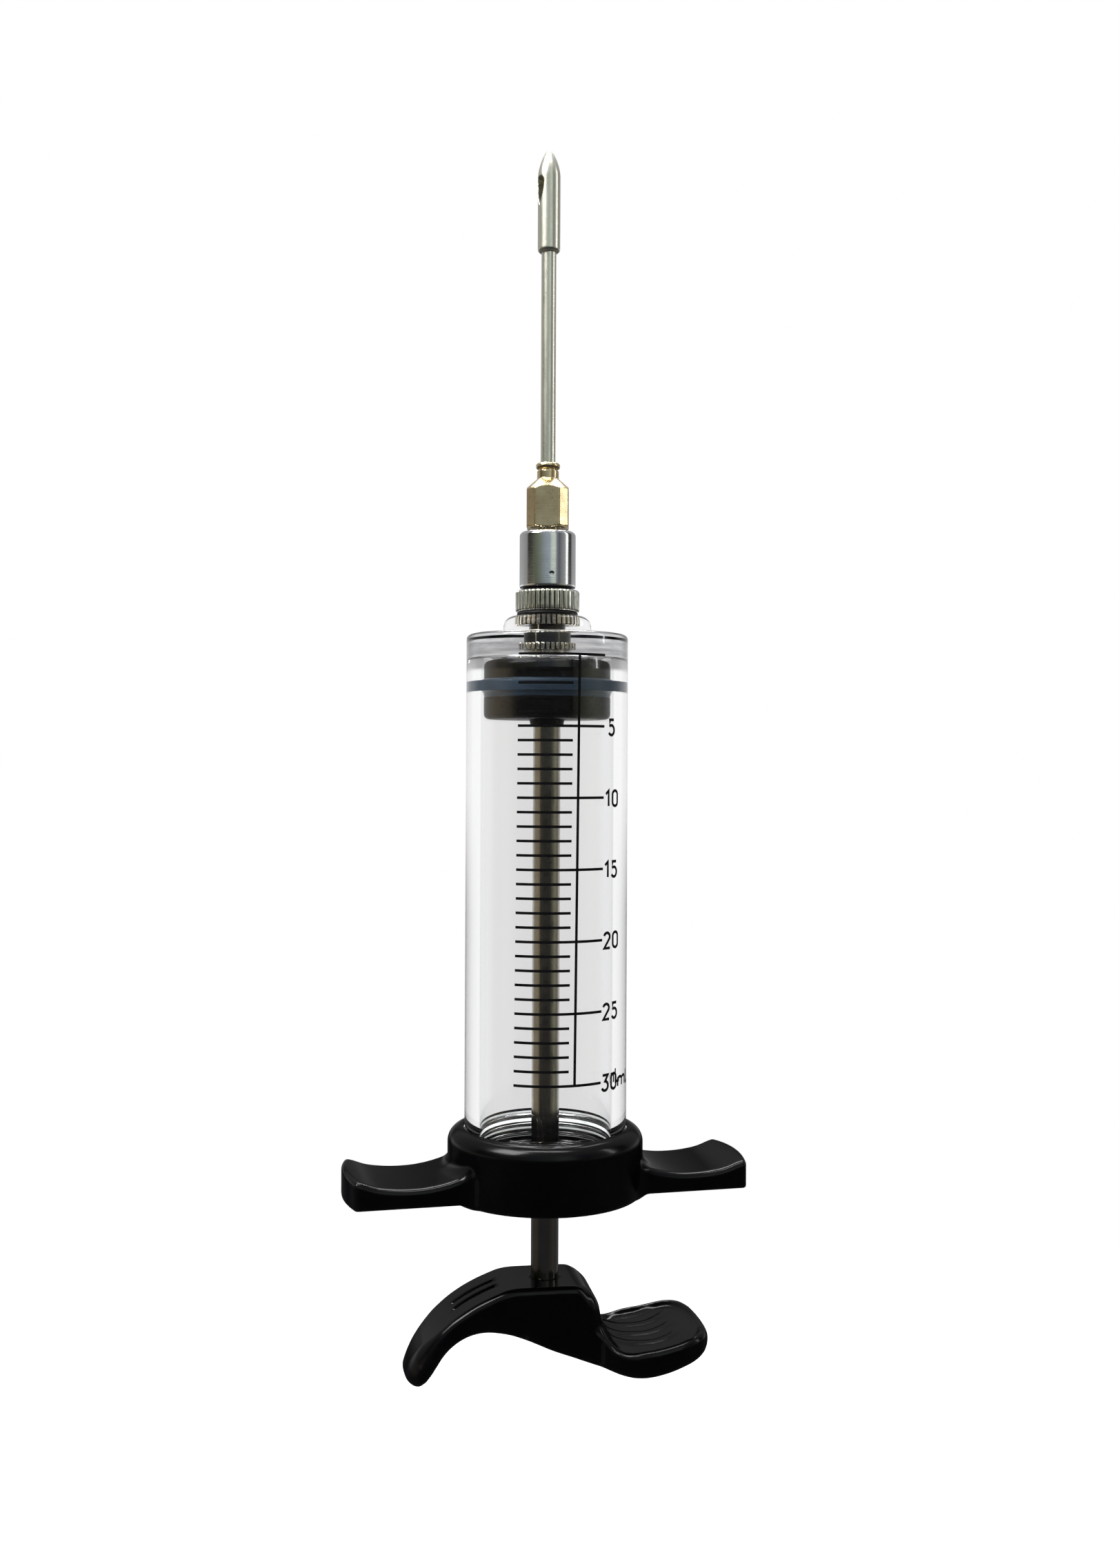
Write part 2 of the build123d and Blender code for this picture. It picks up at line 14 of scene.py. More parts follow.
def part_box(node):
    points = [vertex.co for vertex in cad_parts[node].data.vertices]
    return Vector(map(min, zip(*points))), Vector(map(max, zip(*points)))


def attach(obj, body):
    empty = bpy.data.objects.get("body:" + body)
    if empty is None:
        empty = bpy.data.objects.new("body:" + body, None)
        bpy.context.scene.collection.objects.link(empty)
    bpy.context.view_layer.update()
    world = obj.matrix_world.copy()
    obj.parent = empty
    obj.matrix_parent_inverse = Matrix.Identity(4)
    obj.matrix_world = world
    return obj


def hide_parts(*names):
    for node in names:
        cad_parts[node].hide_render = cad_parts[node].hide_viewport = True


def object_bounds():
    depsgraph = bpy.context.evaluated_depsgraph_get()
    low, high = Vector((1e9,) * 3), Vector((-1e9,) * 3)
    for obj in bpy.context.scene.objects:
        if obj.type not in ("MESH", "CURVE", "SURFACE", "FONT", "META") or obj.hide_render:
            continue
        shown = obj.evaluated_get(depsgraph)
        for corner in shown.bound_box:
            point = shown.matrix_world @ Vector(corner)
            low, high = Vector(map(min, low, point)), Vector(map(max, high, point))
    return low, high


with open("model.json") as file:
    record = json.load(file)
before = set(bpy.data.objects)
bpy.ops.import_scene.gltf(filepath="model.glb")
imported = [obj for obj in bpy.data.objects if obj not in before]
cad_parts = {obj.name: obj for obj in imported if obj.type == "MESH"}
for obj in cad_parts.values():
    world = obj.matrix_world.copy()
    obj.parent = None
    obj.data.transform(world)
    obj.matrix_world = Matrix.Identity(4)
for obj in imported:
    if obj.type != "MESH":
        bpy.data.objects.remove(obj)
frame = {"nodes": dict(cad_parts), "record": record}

scene = bpy.context.scene
cad_lo, cad_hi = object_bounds()
MM = 0.001
TAU = 2 * math.pi
VIEW_AZ = -13.5                 # degrees from -Y towards +X: where the scale and camera are


# ---------------------------------------------------------------------------
# sizes read from the frame, in mm
# ---------------------------------------------------------------------------
def box_mm(node):
    lo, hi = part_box(node)
    return np.array(lo) / MM, np.array(hi) / MM


def extent(node):
    """Reach along +X (the radius of a round part), bottom and top."""
    lo, hi = box_mm(node)
    return float(hi[0]), float(lo[2]), float(hi[2])


BARREL_R, BARREL_Z0, BARREL_Z1 = extent("barrel")
INSERT_R, INSERT_Z0, INSERT_Z1 = extent("nozzle_insert")
GASKET_R, GASKET_Z0, GASKET_Z1 = extent("nozzle_gasket")
CONNECTOR_R, CONNECTOR_Z0, CONE_TOP = extent("luer_connector")
SLEEVE_R, SLEEVE_Z0, SLEEVE_Z1 = extent("chrome_sleeve")
_, HUB_Z0, HUB_Z1 = extent("needle_hub")
TUBE_R, TUBE_Z0, TUBE_Z1 = extent("needle_tube")
POINT_R, POINT_Z0, POINT_Z1 = extent("needle_point")
DISC_R, _, FRONT_Z1 = extent("piston_front_disc")
_, REAR_Z0, _ = extent("piston_rear_disc")
_, SEAL_Z0, SEAL_Z1 = extent("piston_seal")
ROD_R, _, _ = extent("plunger_rod")
GRIP_REACH, _, GRIP_TOP = extent("finger_grip")
GRIP_R = float(box_mm("finger_grip")[1][1])
HANDLE_LO, HANDLE_HI = box_mm("palm_handle")
HANDLE_TOP = float(HANDLE_HI[2])

# sizes shared by several parts
BORE_R = BARREL_R - 2.65
BORE_TOP = BARREL_Z1 - 7.4
SHOULDER_Z = BARREL_Z1 - 3.3    # where the tube ends and the clear boss begins
PASSAGE_R = 0.75                # hole through insert, connector and needle
THREAD_Z = [BARREL_Z0 + 1.3 + i * 1.55 for i in range(5)]
THREAD_DEPTH = 0.62
GROOVE_Z0 = SEAL_Z0 - 0.04      # faces of the discs either side of the seal
GROOVE_Z1 = SEAL_Z1 + 0.04
NET_STEP = 0.30


# ---------------------------------------------------------------------------
# outlines
# ---------------------------------------------------------------------------
def oval(cx, cy, rx, ry, a0, a1, n=14):
    """Points of an elliptical arc, angles in degrees."""
    angles = [math.radians(a0 + (a1 - a0) * i / n) for i in range(n + 1)]
    return [(cx + rx * math.cos(a), cy + ry * math.sin(a)) for a in angles]


def arc(cx, cy, radius, a0, a1, n):
    return oval(cx, cy, radius, radius, a0, a1, n)


def steps(p, q, n):
    """The n - 1 points between p and q."""
    return [(p[0] + (q[0] - p[0]) * i / n, p[1] + (q[1] - p[1]) * i / n) for i in range(1, n)]


def lift(points, base):
    """Raise (radius, height) points by base."""
    return [(r, base + z) for r, z in points]


def curve(points, n):
    """Centripetal Catmull-Rom curve through the points, n steps to a span."""
    p = [np.array(q, float) for q in points]
    p = [2 * p[0] - p[1]] + p + [2 * p[-1] - p[-2]]
    out = []
    for p0, p1, p2, p3 in zip(p, p[1:], p[2:], p[3:]):
        knots = [0.0]
        for a, b in ((p0, p1), (p1, p2), (p2, p3)):
            knots.append(knots[-1] + max(np.linalg.norm(b - a), 1e-6) ** 0.5)
        t0, t1, t2, t3 = knots
        for k in range(n):
            t = t1 + (t2 - t1) * k / n

            def between(a, b, ta, tb):
                return (tb - t) / (tb - ta) * a + (t - ta) / (tb - ta) * b

            middle = between(p1, p2, t1, t2)
            first = between(between(p0, p1, t0, t1), middle, t0, t2)
            second = between(middle, between(p2, p3, t2, t3), t1, t3)
            out.append(tuple(between(first, second, t1, t2)))
    out.append(tuple(p[-2]))
    return out


# ---------------------------------------------------------------------------
# meshes
# ---------------------------------------------------------------------------
def make_object(name, verts_mm, faces, sharp_deg):
    """Smooth-shaded object; edges steeper than sharp_deg stay sharp."""
    mesh = bpy.data.meshes.new(name)
    mesh.from_pydata([tuple(float(c) * MM for c in v) for v in verts_mm], [], faces)
    mesh.update()
    mesh.validate()
    part = bpy.data.objects.new(name, mesh)
    scene.collection.objects.link(part)
    bpy.context.view_layer.objects.active = part
    for other in bpy.context.selected_objects:
        other.select_set(False)
    part.select_set(True)
    bpy.ops.object.shade_smooth_by_angle(angle=math.radians(sharp_deg))
    part.select_set(False)
    return part


def lathe(name, outline, segs, sharp_deg, radius_at=None):
    """Solid of revolution from a closed outline. A point at radius 0 becomes one vertex.

    radius_at(angles, r, z) gives the radii round a ring that isn't a plain circle.
    """
    angles = np.arange(segs) * TAU / segs
    verts, rings = [], []
    for r, z in outline:
        r, z = float(r), float(z)
        if r < 1e-9:
            rings.append([len(verts)])
            verts.append((0, 0, z))
            continue
        radii = radius_at(angles, r, z) if radius_at else np.full(segs, r)
        rings.append(list(range(len(verts), len(verts) + segs)))
        verts += list(zip(radii * np.cos(angles), radii * np.sin(angles), np.full(segs, z)))
    faces = []
    for a, b in zip(rings, rings[1:] + rings[:1]):
        if len(a) == 1 and len(b) == 1:
            continue
        for j in range(segs):
            k = (j + 1) % segs
            if len(a) == 1:
                faces.append((a[0], b[k], b[j]))
            elif len(b) == 1:
                faces.append((a[j], a[k], b[0]))
            else:
                faces.append((a[j], a[k], b[k], b[j]))
    return make_object(name, verts, faces, sharp_deg)


# --- solids given as signed distance, negative inside -----------------------
def outline_distance(outline, step, pad):
    """Signed distance to a closed outline, tabulated, as a function of two coordinates."""
    points = np.array(outline, float)
    lo, hi = points.min(0) - pad, points.max(0) + pad
    xs = np.arange(lo[0], hi[0] + step, step)
    ys = np.arange(lo[1], hi[1] + step, step)
    grid_x, grid_y = np.meshgrid(xs, ys, indexing="ij")
    squared = np.full(grid_x.shape, 1e18)
    inside = np.zeros(grid_x.shape, bool)
    for a, b in zip(points, np.roll(points, -1, axis=0)):
        edge = b - a
        length2 = edge @ edge
        if length2 < 1e-18:
            continue
        wx, wy = grid_x - a[0], grid_y - a[1]
        t = np.clip((wx * edge[0] + wy * edge[1]) / length2, 0, 1)
        squared = np.minimum(squared, (wx - edge[0] * t) ** 2 + (wy - edge[1] * t) ** 2)
        spans = (a[1] > grid_y) != (b[1] > grid_y)
        with np.errstate(divide="ignore", invalid="ignore"):
            cross_x = (b[0] - a[0]) * (grid_y - a[1]) / (b[1] - a[1]) + a[0]
        inside ^= spans & (grid_x < cross_x)
    table = np.sqrt(squared)
    table[inside] *= -1

    def distance(x, y):
        u = np.clip((x - lo[0]) / step, 0, len(xs) - 1.001)
        v = np.clip((y - lo[1]) / step, 0, len(ys) - 1.001)
        i, j = u.astype(int), v.astype(int)
        fu, fv = u - i, v - j
        value = (table[i, j] * (1 - fu) * (1 - fv) + table[i + 1, j] * fu * (1 - fv)
                 + table[i, j + 1] * (1 - fu) * fv + table[i + 1, j + 1] * fu * fv)
        # outside the table, add the distance to it
        over_x = np.maximum(np.maximum(lo[0] - x, x - xs[-1]), 0)
        over_y = np.maximum(np.maximum(lo[1] - y, y - ys[-1]), 0)
        return value + np.hypot(over_x, over_y)
    return distance


def intersect(a, b, r):
    """Intersection with the shared edge rounded to radius r."""
    u, v = np.maximum(a + r, 0), np.maximum(b + r, 0)
    return np.minimum(np.maximum(a, b), -r) + np.hypot(u, v)


def unite(a, b, r):
    """Union with the inner corner filled to radius r."""
    u, v = np.maximum(r - a, 0), np.maximum(r - b, 0)
    return np.maximum(np.minimum(a, b), r) - np.hypot(u, v)


def cut(a, b, r):
    return intersect(a, -b, r)


def edge_ends(values, axis, cross):
    """Values at both ends of the grid edges along an axis; cross slices the other two axes."""
    ends = []
    for along in (slice(None, -1), slice(1, None)):
        index = {**cross, axis: along}
        ends.append(values[index[0], index[1], index[2]])
    return ends


def cell_crossings(values):
    """Per grid cell: the sum of its edges' surface crossings, in cell units, and their number."""
    cells = tuple(n - 1 for n in values.shape)
    total, hits = np.zeros(cells + (3,)), np.zeros(cells)
    for axis in range(3):
        o1, o2 = [i for i in range(3) if i != axis]
        for d1, d2 in ((0, 0), (1, 0), (0, 1), (1, 1)):
            cross = {o1: slice(d1, cells[o1] + d1), o2: slice(d2, cells[o2] + d2)}
            a, b = edge_ends(values, axis, cross)
            crossed = (a < 0) != (b < 0)
            total[..., axis] += np.where(crossed, a / np.where(crossed, a - b, 1), 0)
            total[..., o1] += crossed * d1
            total[..., o2] += crossed * d2
            hits += crossed
    return total, hits


def net_quads(inside, ids):
    """One quad of cell ids round every grid edge that crosses the surface."""
    quads = []
    for axis in range(3):
        o1, o2 = (axis + 1) % 3, (axis + 2) % 3
        a, b = edge_ends(inside, axis, {o1: slice(1, -1), o2: slice(1, -1)})
        for order, crossed in ((1, a & ~b), (-1, ~a & b)):
            index = np.nonzero(crossed)
            corners = []
            for d1, d2 in ((0, 0), (1, 0), (1, 1), (0, 1)):
                shift = {axis: 0, o1: d1, o2: d2}
                corners.append(ids[tuple(index[i] + shift[i] for i in range(3))])
            quads.append(np.stack(corners, 1)[:, ::order])
    return np.concatenate(quads)


def pull_to_surface(verts, field, cell_lo, step):
    """Newton steps onto field = 0, each vertex kept near its own cell."""
    probe = 0.25 * step
    for _ in range(4):
        value = field(verts[:, 0], verts[:, 1], verts[:, 2])
        slope = np.empty_like(verts)
        for i in range(3):
            d = np.zeros(3)
            d[i] = probe
            slope[:, i] = (field(*(verts + d).T) - field(*(verts - d).T)) / (2 * probe)
        steep = np.maximum((slope * slope).sum(1), 0.05)
        verts = verts - np.clip(value / steep, -0.4 * step, 0.4 * step)[:, None] * slope
        verts = np.clip(verts, cell_lo - 0.35 * step, cell_lo + 1.35 * step)
    return verts


def surface_net(name, field, lo, hi, step, sharp_deg):
    """Closed quad mesh of field = 0 inside the box lo, hi."""
    lo, hi = np.array(lo, float), np.array(hi, float)
    count = np.ceil((hi - lo) / step).astype(int) + 1
    ticks = [lo[i] + np.arange(count[i]) * step for i in range(3)]
    grid_x, grid_y = np.meshgrid(ticks[0], ticks[1], indexing="ij")
    values = np.empty(tuple(count))
    for k, z in enumerate(ticks[2]):
        layer = field(grid_x.ravel(), grid_y.ravel(), np.full(grid_x.size, z))
        values[:, :, k] = layer.reshape(grid_x.shape)
    values[values == 0] = 1e-9
    total, hits = cell_crossings(values)
    active = hits > 0
    ids = -np.ones(active.shape, int)
    ids[active] = np.arange(active.sum())
    cell_lo = np.stack([ticks[i][c] for i, c in enumerate(np.nonzero(active))], 1)
    verts = cell_lo + total[active] / hits[active][:, None] * step
    quads = net_quads(values < 0, ids)
    verts = pull_to_surface(verts, field, cell_lo, step)
    return make_object(name, verts, [tuple(int(i) for i in q) for q in quads], sharp_deg)


# ---------------------------------------------------------------------------
# shader node helpers
# ---------------------------------------------------------------------------
class NodeTree:
    def __init__(self, tree):
        self.tree = tree
        tree.nodes.clear()

    def put(self, target, value):
        """Link a socket to an input, or give the input a plain value."""
        if isinstance(value, bpy.types.NodeSocket):
            self.tree.links.new(value, target)
        elif target.type == "RGBA":
            target.default_value = (*value[:3], 1)
        else:
            target.default_value = value

    def add(self, kind, inputs=(), **settings):
        node = self.tree.nodes.new(kind)
        for key, value in settings.items():
            setattr(node, key, value)
        for key, value in dict(inputs).items():
            self.put(node.inputs[key], value)
        return node

    def span(self, value, out=(0.0, 1.0), over=(0.3, 0.7)):
        """Map the range over onto the range out, clamped."""
        return self.add("ShaderNodeMapRange", {
            "From Min": over[0], "From Max": over[1],
            "To Min": out[0], "To Max": out[1], "Value": value}).outputs["Result"]

    def calc(self, operation, *values):
        return self.add("ShaderNodeMath", enumerate(values), operation=operation).outputs[0]

    def times(self, a, b):
        return self.calc("MULTIPLY", a, b)

    def mix(self, factor, a, b):
        """Colour a where factor is 0, b where it is 1."""
        return self.add("ShaderNodeMix", {"Factor": factor, 6: a, 7: b},
                        data_type="RGBA", blend_type="MIX").outputs[2]


class Material(NodeTree):
    """Principled material with textures in object space."""

    def __init__(self, name):
        self.material = bpy.data.materials.new(name)
        self.material.use_nodes = True
        super().__init__(self.material.node_tree)
        self.out = self.add("ShaderNodeOutputMaterial")
        self.bsdf = self.add("ShaderNodeBsdfPrincipled")
        self.put(self.out.inputs["Surface"], self.bsdf.outputs[0])
        self.coords = self.add("ShaderNodeTexCoord").outputs["Object"]

    def set(self, **inputs):
        for key, value in inputs.items():
            self.put(self.bsdf.inputs[key.replace("_", " ")], value)

    def noise(self, scale, detail=3.0, rough=0.5, stretch=None, distortion=0.0):
        """Noise of scale cycles per metre; stretch multiplies it per axis."""
        source = self.coords
        if stretch:
            source = self.add("ShaderNodeMapping",
                              {"Scale": stretch, "Vector": source}).outputs[0]
        return self.add("ShaderNodeTexNoise", {
            "Scale": scale, "Detail": detail, "Roughness": rough,
            "Distortion": distortion, "Vector": source}).outputs["Fac"]

    def bump(self, height, depth, strength, under=None):
        """Normal of a relief, depth in metres, laid over another normal if given."""
        inputs = {"Strength": strength, "Distance": depth, "Height": height}
        if under is not None:
            inputs["Normal"] = under
        return self.add("ShaderNodeBump", inputs).outputs[0]

    def xyz(self):
        return self.add("ShaderNodeSeparateXYZ", {0: self.coords}).outputs

    def pointiness(self):
        """High on convex edges, low in hollows."""
        return self.add("ShaderNodeNewGeometry").outputs["Pointiness"]


# ---------------------------------------------------------------------------
# materials
# ---------------------------------------------------------------------------
def clear_plastic(name, ior):
    """Clear plastic, with a painted grey shade band near the outer surface where the end wall meets
    the tube.
    """
    tint, painted_shade = (0.985, 0.99, 0.995), (0.20, 0.205, 0.22)
    m = Material(name)
    m.set(Base_Color=tint, Roughness=0.0, IOR=ior, Transmission_Weight=1.0)
    wave = m.noise(scale=55, detail=2, stretch=(1, 1, 0.25))
    fine = m.noise(scale=900, detail=2, stretch=(1, 1, 0.12))
    m.set(Roughness=m.span(fine, out=(0.0, 0.03), over=(0.45, 0.8)))
    m.set(Normal=m.bump(wave, depth=0.00004, strength=0.6))
    x, y, z = m.xyz()
    z = m.times(z, 1 / MM)
    squares = m.calc("ADD", m.calc("POWER", x, 2.0), m.calc("POWER", y, 2.0))
    radius = m.times(m.calc("SQRT", squares), 1 / MM)
    # painted shade: a grey band over the end wall near the outer surface, broken up into streaks
    band = m.times(m.span(z, over=(BORE_TOP - 0.4, BORE_TOP + 0.3)),
                   m.span(z, out=(1, 0), over=(BORE_TOP + 3.0, BORE_TOP + 3.5)))
    streak = m.noise(scale=500, rough=0.6, stretch=(0.3, 0.3, 2.2))
    streak = m.span(streak, out=(0.5, 1.0), over=(0.35, 0.6))
    skin = m.span(radius, over=(BARREL_R - 0.4, BARREL_R - 0.2))
    band = m.times(m.times(band, skin), streak)
    m.set(Base_Color=m.mix(m.times(band, 0.85), tint, painted_shade))
    return m.material


def black_plastic(name, base, rough, specular):
    """Dark moulded plastic; specular is its reflection where seen square on."""
    edge_color = (0.014, 0.0145, 0.016)
    m = Material(name)
    blot = m.noise(scale=140, detail=4, rough=0.55)
    fine = m.noise(scale=2600, rough=0.6)
    scratch = m.noise(scale=700, detail=4, rough=0.7, stretch=(1.0, 0.12, 0.9), distortion=1.5)
    color = m.mix(m.span(blot), base, tuple(c * 1.6 + 0.0002 for c in base))
    edge = m.span(m.pointiness(), over=(0.505, 0.57))
    edge = m.times(edge, m.span(blot, out=(0.2, 0.8)))
    m.set(Base_Color=m.mix(m.times(edge, 0.35), color, edge_color))
    scratch = m.times(m.span(scratch, over=(0.58, 0.8)), 0.10)
    m.set(Roughness=m.calc("ADD", m.span(blot, out=rough), scratch), IOR=1.5)
    rim = m.add("ShaderNodeLayerWeight", {"Blend": 0.5}).outputs["Facing"]
    square_on = m.calc("SUBTRACT", 1.0, rim)
    m.set(Specular_IOR_Level=m.span(square_on, out=(0.004, specular), over=(0.28, 0.75)))
    normal = m.bump(fine, depth=0.000006, strength=0.5)
    swell = m.noise(scale=90, detail=2)
    m.set(Normal=m.bump(swell, depth=0.00006, strength=0.25, under=normal))
    return m.material


def metal(name, color_a, color_b, rough, turn=None, drawn=False, spot=0.0,
          spot_color=(0.2, 0.17, 0.12), hollow=0.0):
    """turn: lathe rings per mm. drawn: fine lines along Z. spot: amount of tarnish spots. hollow:
    amount of painted shade in the hollows.
    """
    m = Material(name)
    m.set(Metallic=1.0)
    blot = m.noise(scale=260, detail=4, rough=0.6)
    color = m.mix(m.span(blot), color_a, color_b)
    if spot:
        spots = m.noise(scale=1500, detail=5, rough=0.7)
        color = m.mix(m.span(spots, out=(0, spot), over=(0.56, 0.75)), color, spot_color)
    if hollow:
        # painted shade: hollows darkened towards near black
        hollow_shade = m.span(m.pointiness(), out=(hollow, 0.0), over=(0.455, 0.495))
        color = m.mix(hollow_shade, color, (0.012, 0.009, 0.007))
    fine = m.noise(scale=3200, rough=0.6)
    m.set(Base_Color=color,
          Roughness=m.calc("ADD", m.span(blot, out=rough), m.times(m.span(fine), 0.05)))
    normal = m.bump(fine, depth=0.000004, strength=0.5)
    if turn:
        lines = m.noise(scale=turn * 1000, detail=2, rough=0.6, stretch=(0.004, 0.004, 1.0))
        normal = m.bump(lines, depth=0.000010, strength=0.35, under=normal)
    if drawn:
        lines = m.noise(scale=3800, rough=0.6, stretch=(1.0, 1.0, 0.012))
        normal = m.bump(lines, depth=0.000004, strength=0.12, under=normal)
    m.set(Normal=normal)
    return m.material


def rubber(name, color_a, color_b, rough=(0.42, 0.55)):
    m = Material(name)
    m.set(Base_Color=m.mix(m.span(m.noise(scale=220)), color_a, color_b),
          Roughness=m.span(m.noise(scale=900), out=rough), IOR=1.42)
    normal = m.bump(m.noise(scale=2400), depth=0.000010, strength=0.5)
    rings = m.noise(scale=800, detail=2, stretch=(0.02, 0.02, 1.0))
    m.set(Normal=m.bump(rings, depth=0.00002, strength=0.3, under=normal))
    return m.material


def ink():
    m = Material("scale_ink")
    grain = m.noise(scale=2500)
    m.set(Base_Color=m.mix(m.span(grain), (0.0020, 0.0020, 0.0024), (0.0060, 0.0060, 0.0068)),
          Specular_IOR_Level=0.08,
          Roughness=m.span(grain, out=(0.45, 0.65)),
          Normal=m.bump(m.noise(scale=5000, detail=2), depth=0.000004, strength=0.4))
    return m.material


def thread_face():
    """Black thread inside the grip with painted glow bands, standing in for light piped down the
    clear wall onto it.
    """
    bands = ((11.38, 0.14, 0.9), (9.80, 0.34, 1.5),     # height mm, half width mm, strength
             (8.50, 0.14, 0.7), (7.20, 0.12, 0.4))
    m = Material("thread_face")
    z = m.times(m.xyz()[2], 1 / MM)
    glow = None
    for height, half, amount in bands:
        away = m.calc("ABSOLUTE", m.calc("SUBTRACT", z, height))
        band = m.span(away, out=(amount, 0.0), over=(half, half + 0.14))
        glow = m.calc("MAXIMUM", glow, band) if glow else band
    patchy = m.noise(scale=260, rough=0.6, stretch=(1.0, 1.0, 0.3))
    glow = m.times(glow, m.span(patchy, out=(0.72, 1.0), over=(0.35, 0.6)))
    grain = m.span(m.noise(scale=400))
    m.set(Base_Color=m.mix(grain, (0.0015, 0.0015, 0.002), (0.004, 0.004, 0.0045)),
          Roughness=m.span(m.noise(scale=900, detail=2), out=(0.3, 0.42)),
          Specular_IOR_Level=0.1, Emission_Color=(0.93, 0.96, 0.95))
    # the painted glow shows only to direct view, not in reflections or bounced light
    path = m.add("ShaderNodeLightPath").outputs
    bounces = m.calc("ADD", path["Glossy Depth"], path["Diffuse Depth"])
    m.set(Emission_Strength=m.times(glow, m.calc("LESS_THAN", bounces, 0.5)))
    return m.material


CLEAR = clear_plastic("clear_barrel", ior=1.49)
BOSS = clear_plastic("clear_boss", ior=1.16)    # lower index, so the insert shows through
BLACK = black_plastic("black_plastic", base=(0.0006, 0.0006, 0.0009), rough=(0.15, 0.22),
                      specular=0.22)
DISC_BLACK = black_plastic("piston_black", base=(0.0040, 0.0034, 0.0032), rough=(0.20, 0.30),
                           specular=0.15)
CHROME = metal("polished_chrome", (0.78, 0.79, 0.79), (0.70, 0.71, 0.71), rough=(0.07, 0.12),
               turn=5.0)
NICKEL = metal("knurled_nickel", (0.88, 0.87, 0.78), (0.70, 0.69, 0.60), rough=(0.14, 0.24),
               turn=3.0, spot=0.6, hollow=0.9)
INSERT_NICKEL = metal("insert_nickel", (0.97, 0.95, 0.87), (0.84, 0.77, 0.63),
                      rough=(0.16, 0.26), turn=3.0, spot=0.5,
                      spot_color=(0.07, 0.035, 0.02), hollow=0.95)
BRASS = metal("turned_brass", (0.80, 0.65, 0.38), (0.60, 0.47, 0.27), rough=(0.18, 0.28),
              turn=3.0, spot=0.55, spot_color=(0.16, 0.08, 0.04))
BUSH_BRASS = metal("bush_brass", (0.72, 0.56, 0.30), (0.60, 0.45, 0.22), rough=(0.22, 0.32),
                   turn=3.0)
NEEDLE_STEEL = metal("needle_steel", (0.86, 0.85, 0.72), (0.74, 0.73, 0.62),
                     rough=(0.24, 0.32), drawn=True, spot=0.15)
ROD_STEEL = metal("rod_steel", (0.42, 0.40, 0.34), (0.33, 0.31, 0.26), rough=(0.10, 0.18),
                  drawn=True, spot=0.2)
SEAL_BLUE = rubber("silicone_blue", (0.030, 0.058, 0.096), (0.042, 0.074, 0.116),
                   rough=(0.36, 0.5))
GASKET_BLACK = rubber("gasket_black", (0.006, 0.006, 0.007), (0.012, 0.012, 0.013))
INK = ink()
# painted shade: near-black material laid in the knurl gaps and the groove under the sleeve
PAINTED_GROOVE_SHADE = rubber("painted_groove_shade", (0.004, 0.0035, 0.003), (0.010, 0.008, 0.007), rough=(0.5, 0.6))
THREAD_PAINTED_GLOW = thread_face()


def dress(part, material, body, node=None):
    """Give a part its material, the body it rides and the CAD node it replaces."""
    part.data.materials.clear()
    part.data.materials.append(material)
    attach(part, body)
    if node:
        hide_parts(node)


def recolor(part, material, chosen):
    """Second material on the faces whose centre passes chosen(radius, z)."""
    part.data.materials.append(material)
    for face in part.data.polygons:
        c = face.center / MM
        if chosen(math.hypot(c.x, c.y), c.z):
            face.material_index = 1


# ---------------------------------------------------------------------------
# barrel and printed scale
# ---------------------------------------------------------------------------
def build_barrel():
    """One clear solid; the metal insert is moulded into its boss."""
    r, z0 = BARREL_R, BARREL_Z0
    # depth and half width of a thread groove, rim to floor
    groove = [(0, 0.50), (0.06, 0.44), (THREAD_DEPTH - 0.05, 0.17), (THREAD_DEPTH, 0.08)]
    outer = [(r - 0.5, z0), (r - 0.15, z0 + 0.12), (r, z0 + 0.5)]
    for zc in THREAD_Z:
        outer += [(r - depth, zc - half) for depth, half in groove]
        outer += [(r - depth, zc + half) for depth, half in groove[::-1]]
    # the last groove runs into a shallow relief that ends just above the grip
    relief_r, relief_z = r - 0.35, GRIP_TOP + 0.10
    wall_z0, round_r = relief_z + 0.12, 0.9
    outer[-1] = (relief_r, outer[-1][1] - 0.2)
    outer += [(relief_r, relief_z), (r, wall_z0)]
    outer += steps((r, wall_z0), (r, SHOULDER_Z - round_r), 40)
    outer += arc(r - round_r, SHOULDER_Z - round_r, round_r, 0, 90, 10)
    boss_r, fillet, dome = 7.70, 0.5, 2.0
    outer += arc(boss_r + fillet, SHOULDER_Z + fillet, fillet, 270, 180, 6)
    outer += arc(boss_r - dome, BARREL_Z1 - dome, dome, 0, 90, 14)
    outer += [(0, BARREL_Z1)]
    inner = [(0, BORE_TOP), (BORE_R - 0.5, BORE_TOP)]
    inner += arc(BORE_R - 0.4, BORE_TOP - 0.4, 0.4, 90, 0, 5)[1:]
    inner += steps((BORE_R, BORE_TOP - 0.4), (BORE_R, z0 + 0.8), 40)
    inner += [(BORE_R, z0 + 0.8), (BORE_R + 0.15, z0 + 0.55), (BORE_R + 0.5, z0)]
    barrel = lathe("barrel_clear", outer + inner, 360, sharp_deg=35)
    dress(barrel, CLEAR, "barrel", "barrel")
    recolor(barrel, BOSS, lambda radius, z: z > SHOULDER_Z + 0.55)


# The scale is curved ink strips standing on the barrel. Angles are from VIEW_AZ, + to +X.
INK_R = (BARREL_R - 0.012, BARREL_R + 0.022)
ML_HEIGHT = 1000 / (math.pi * BORE_R ** 2)
ink_verts, ink_faces = [], []


def ink_point(angle, r, z):
    ink_verts.append((r * math.cos(angle), r * math.sin(angle), z))


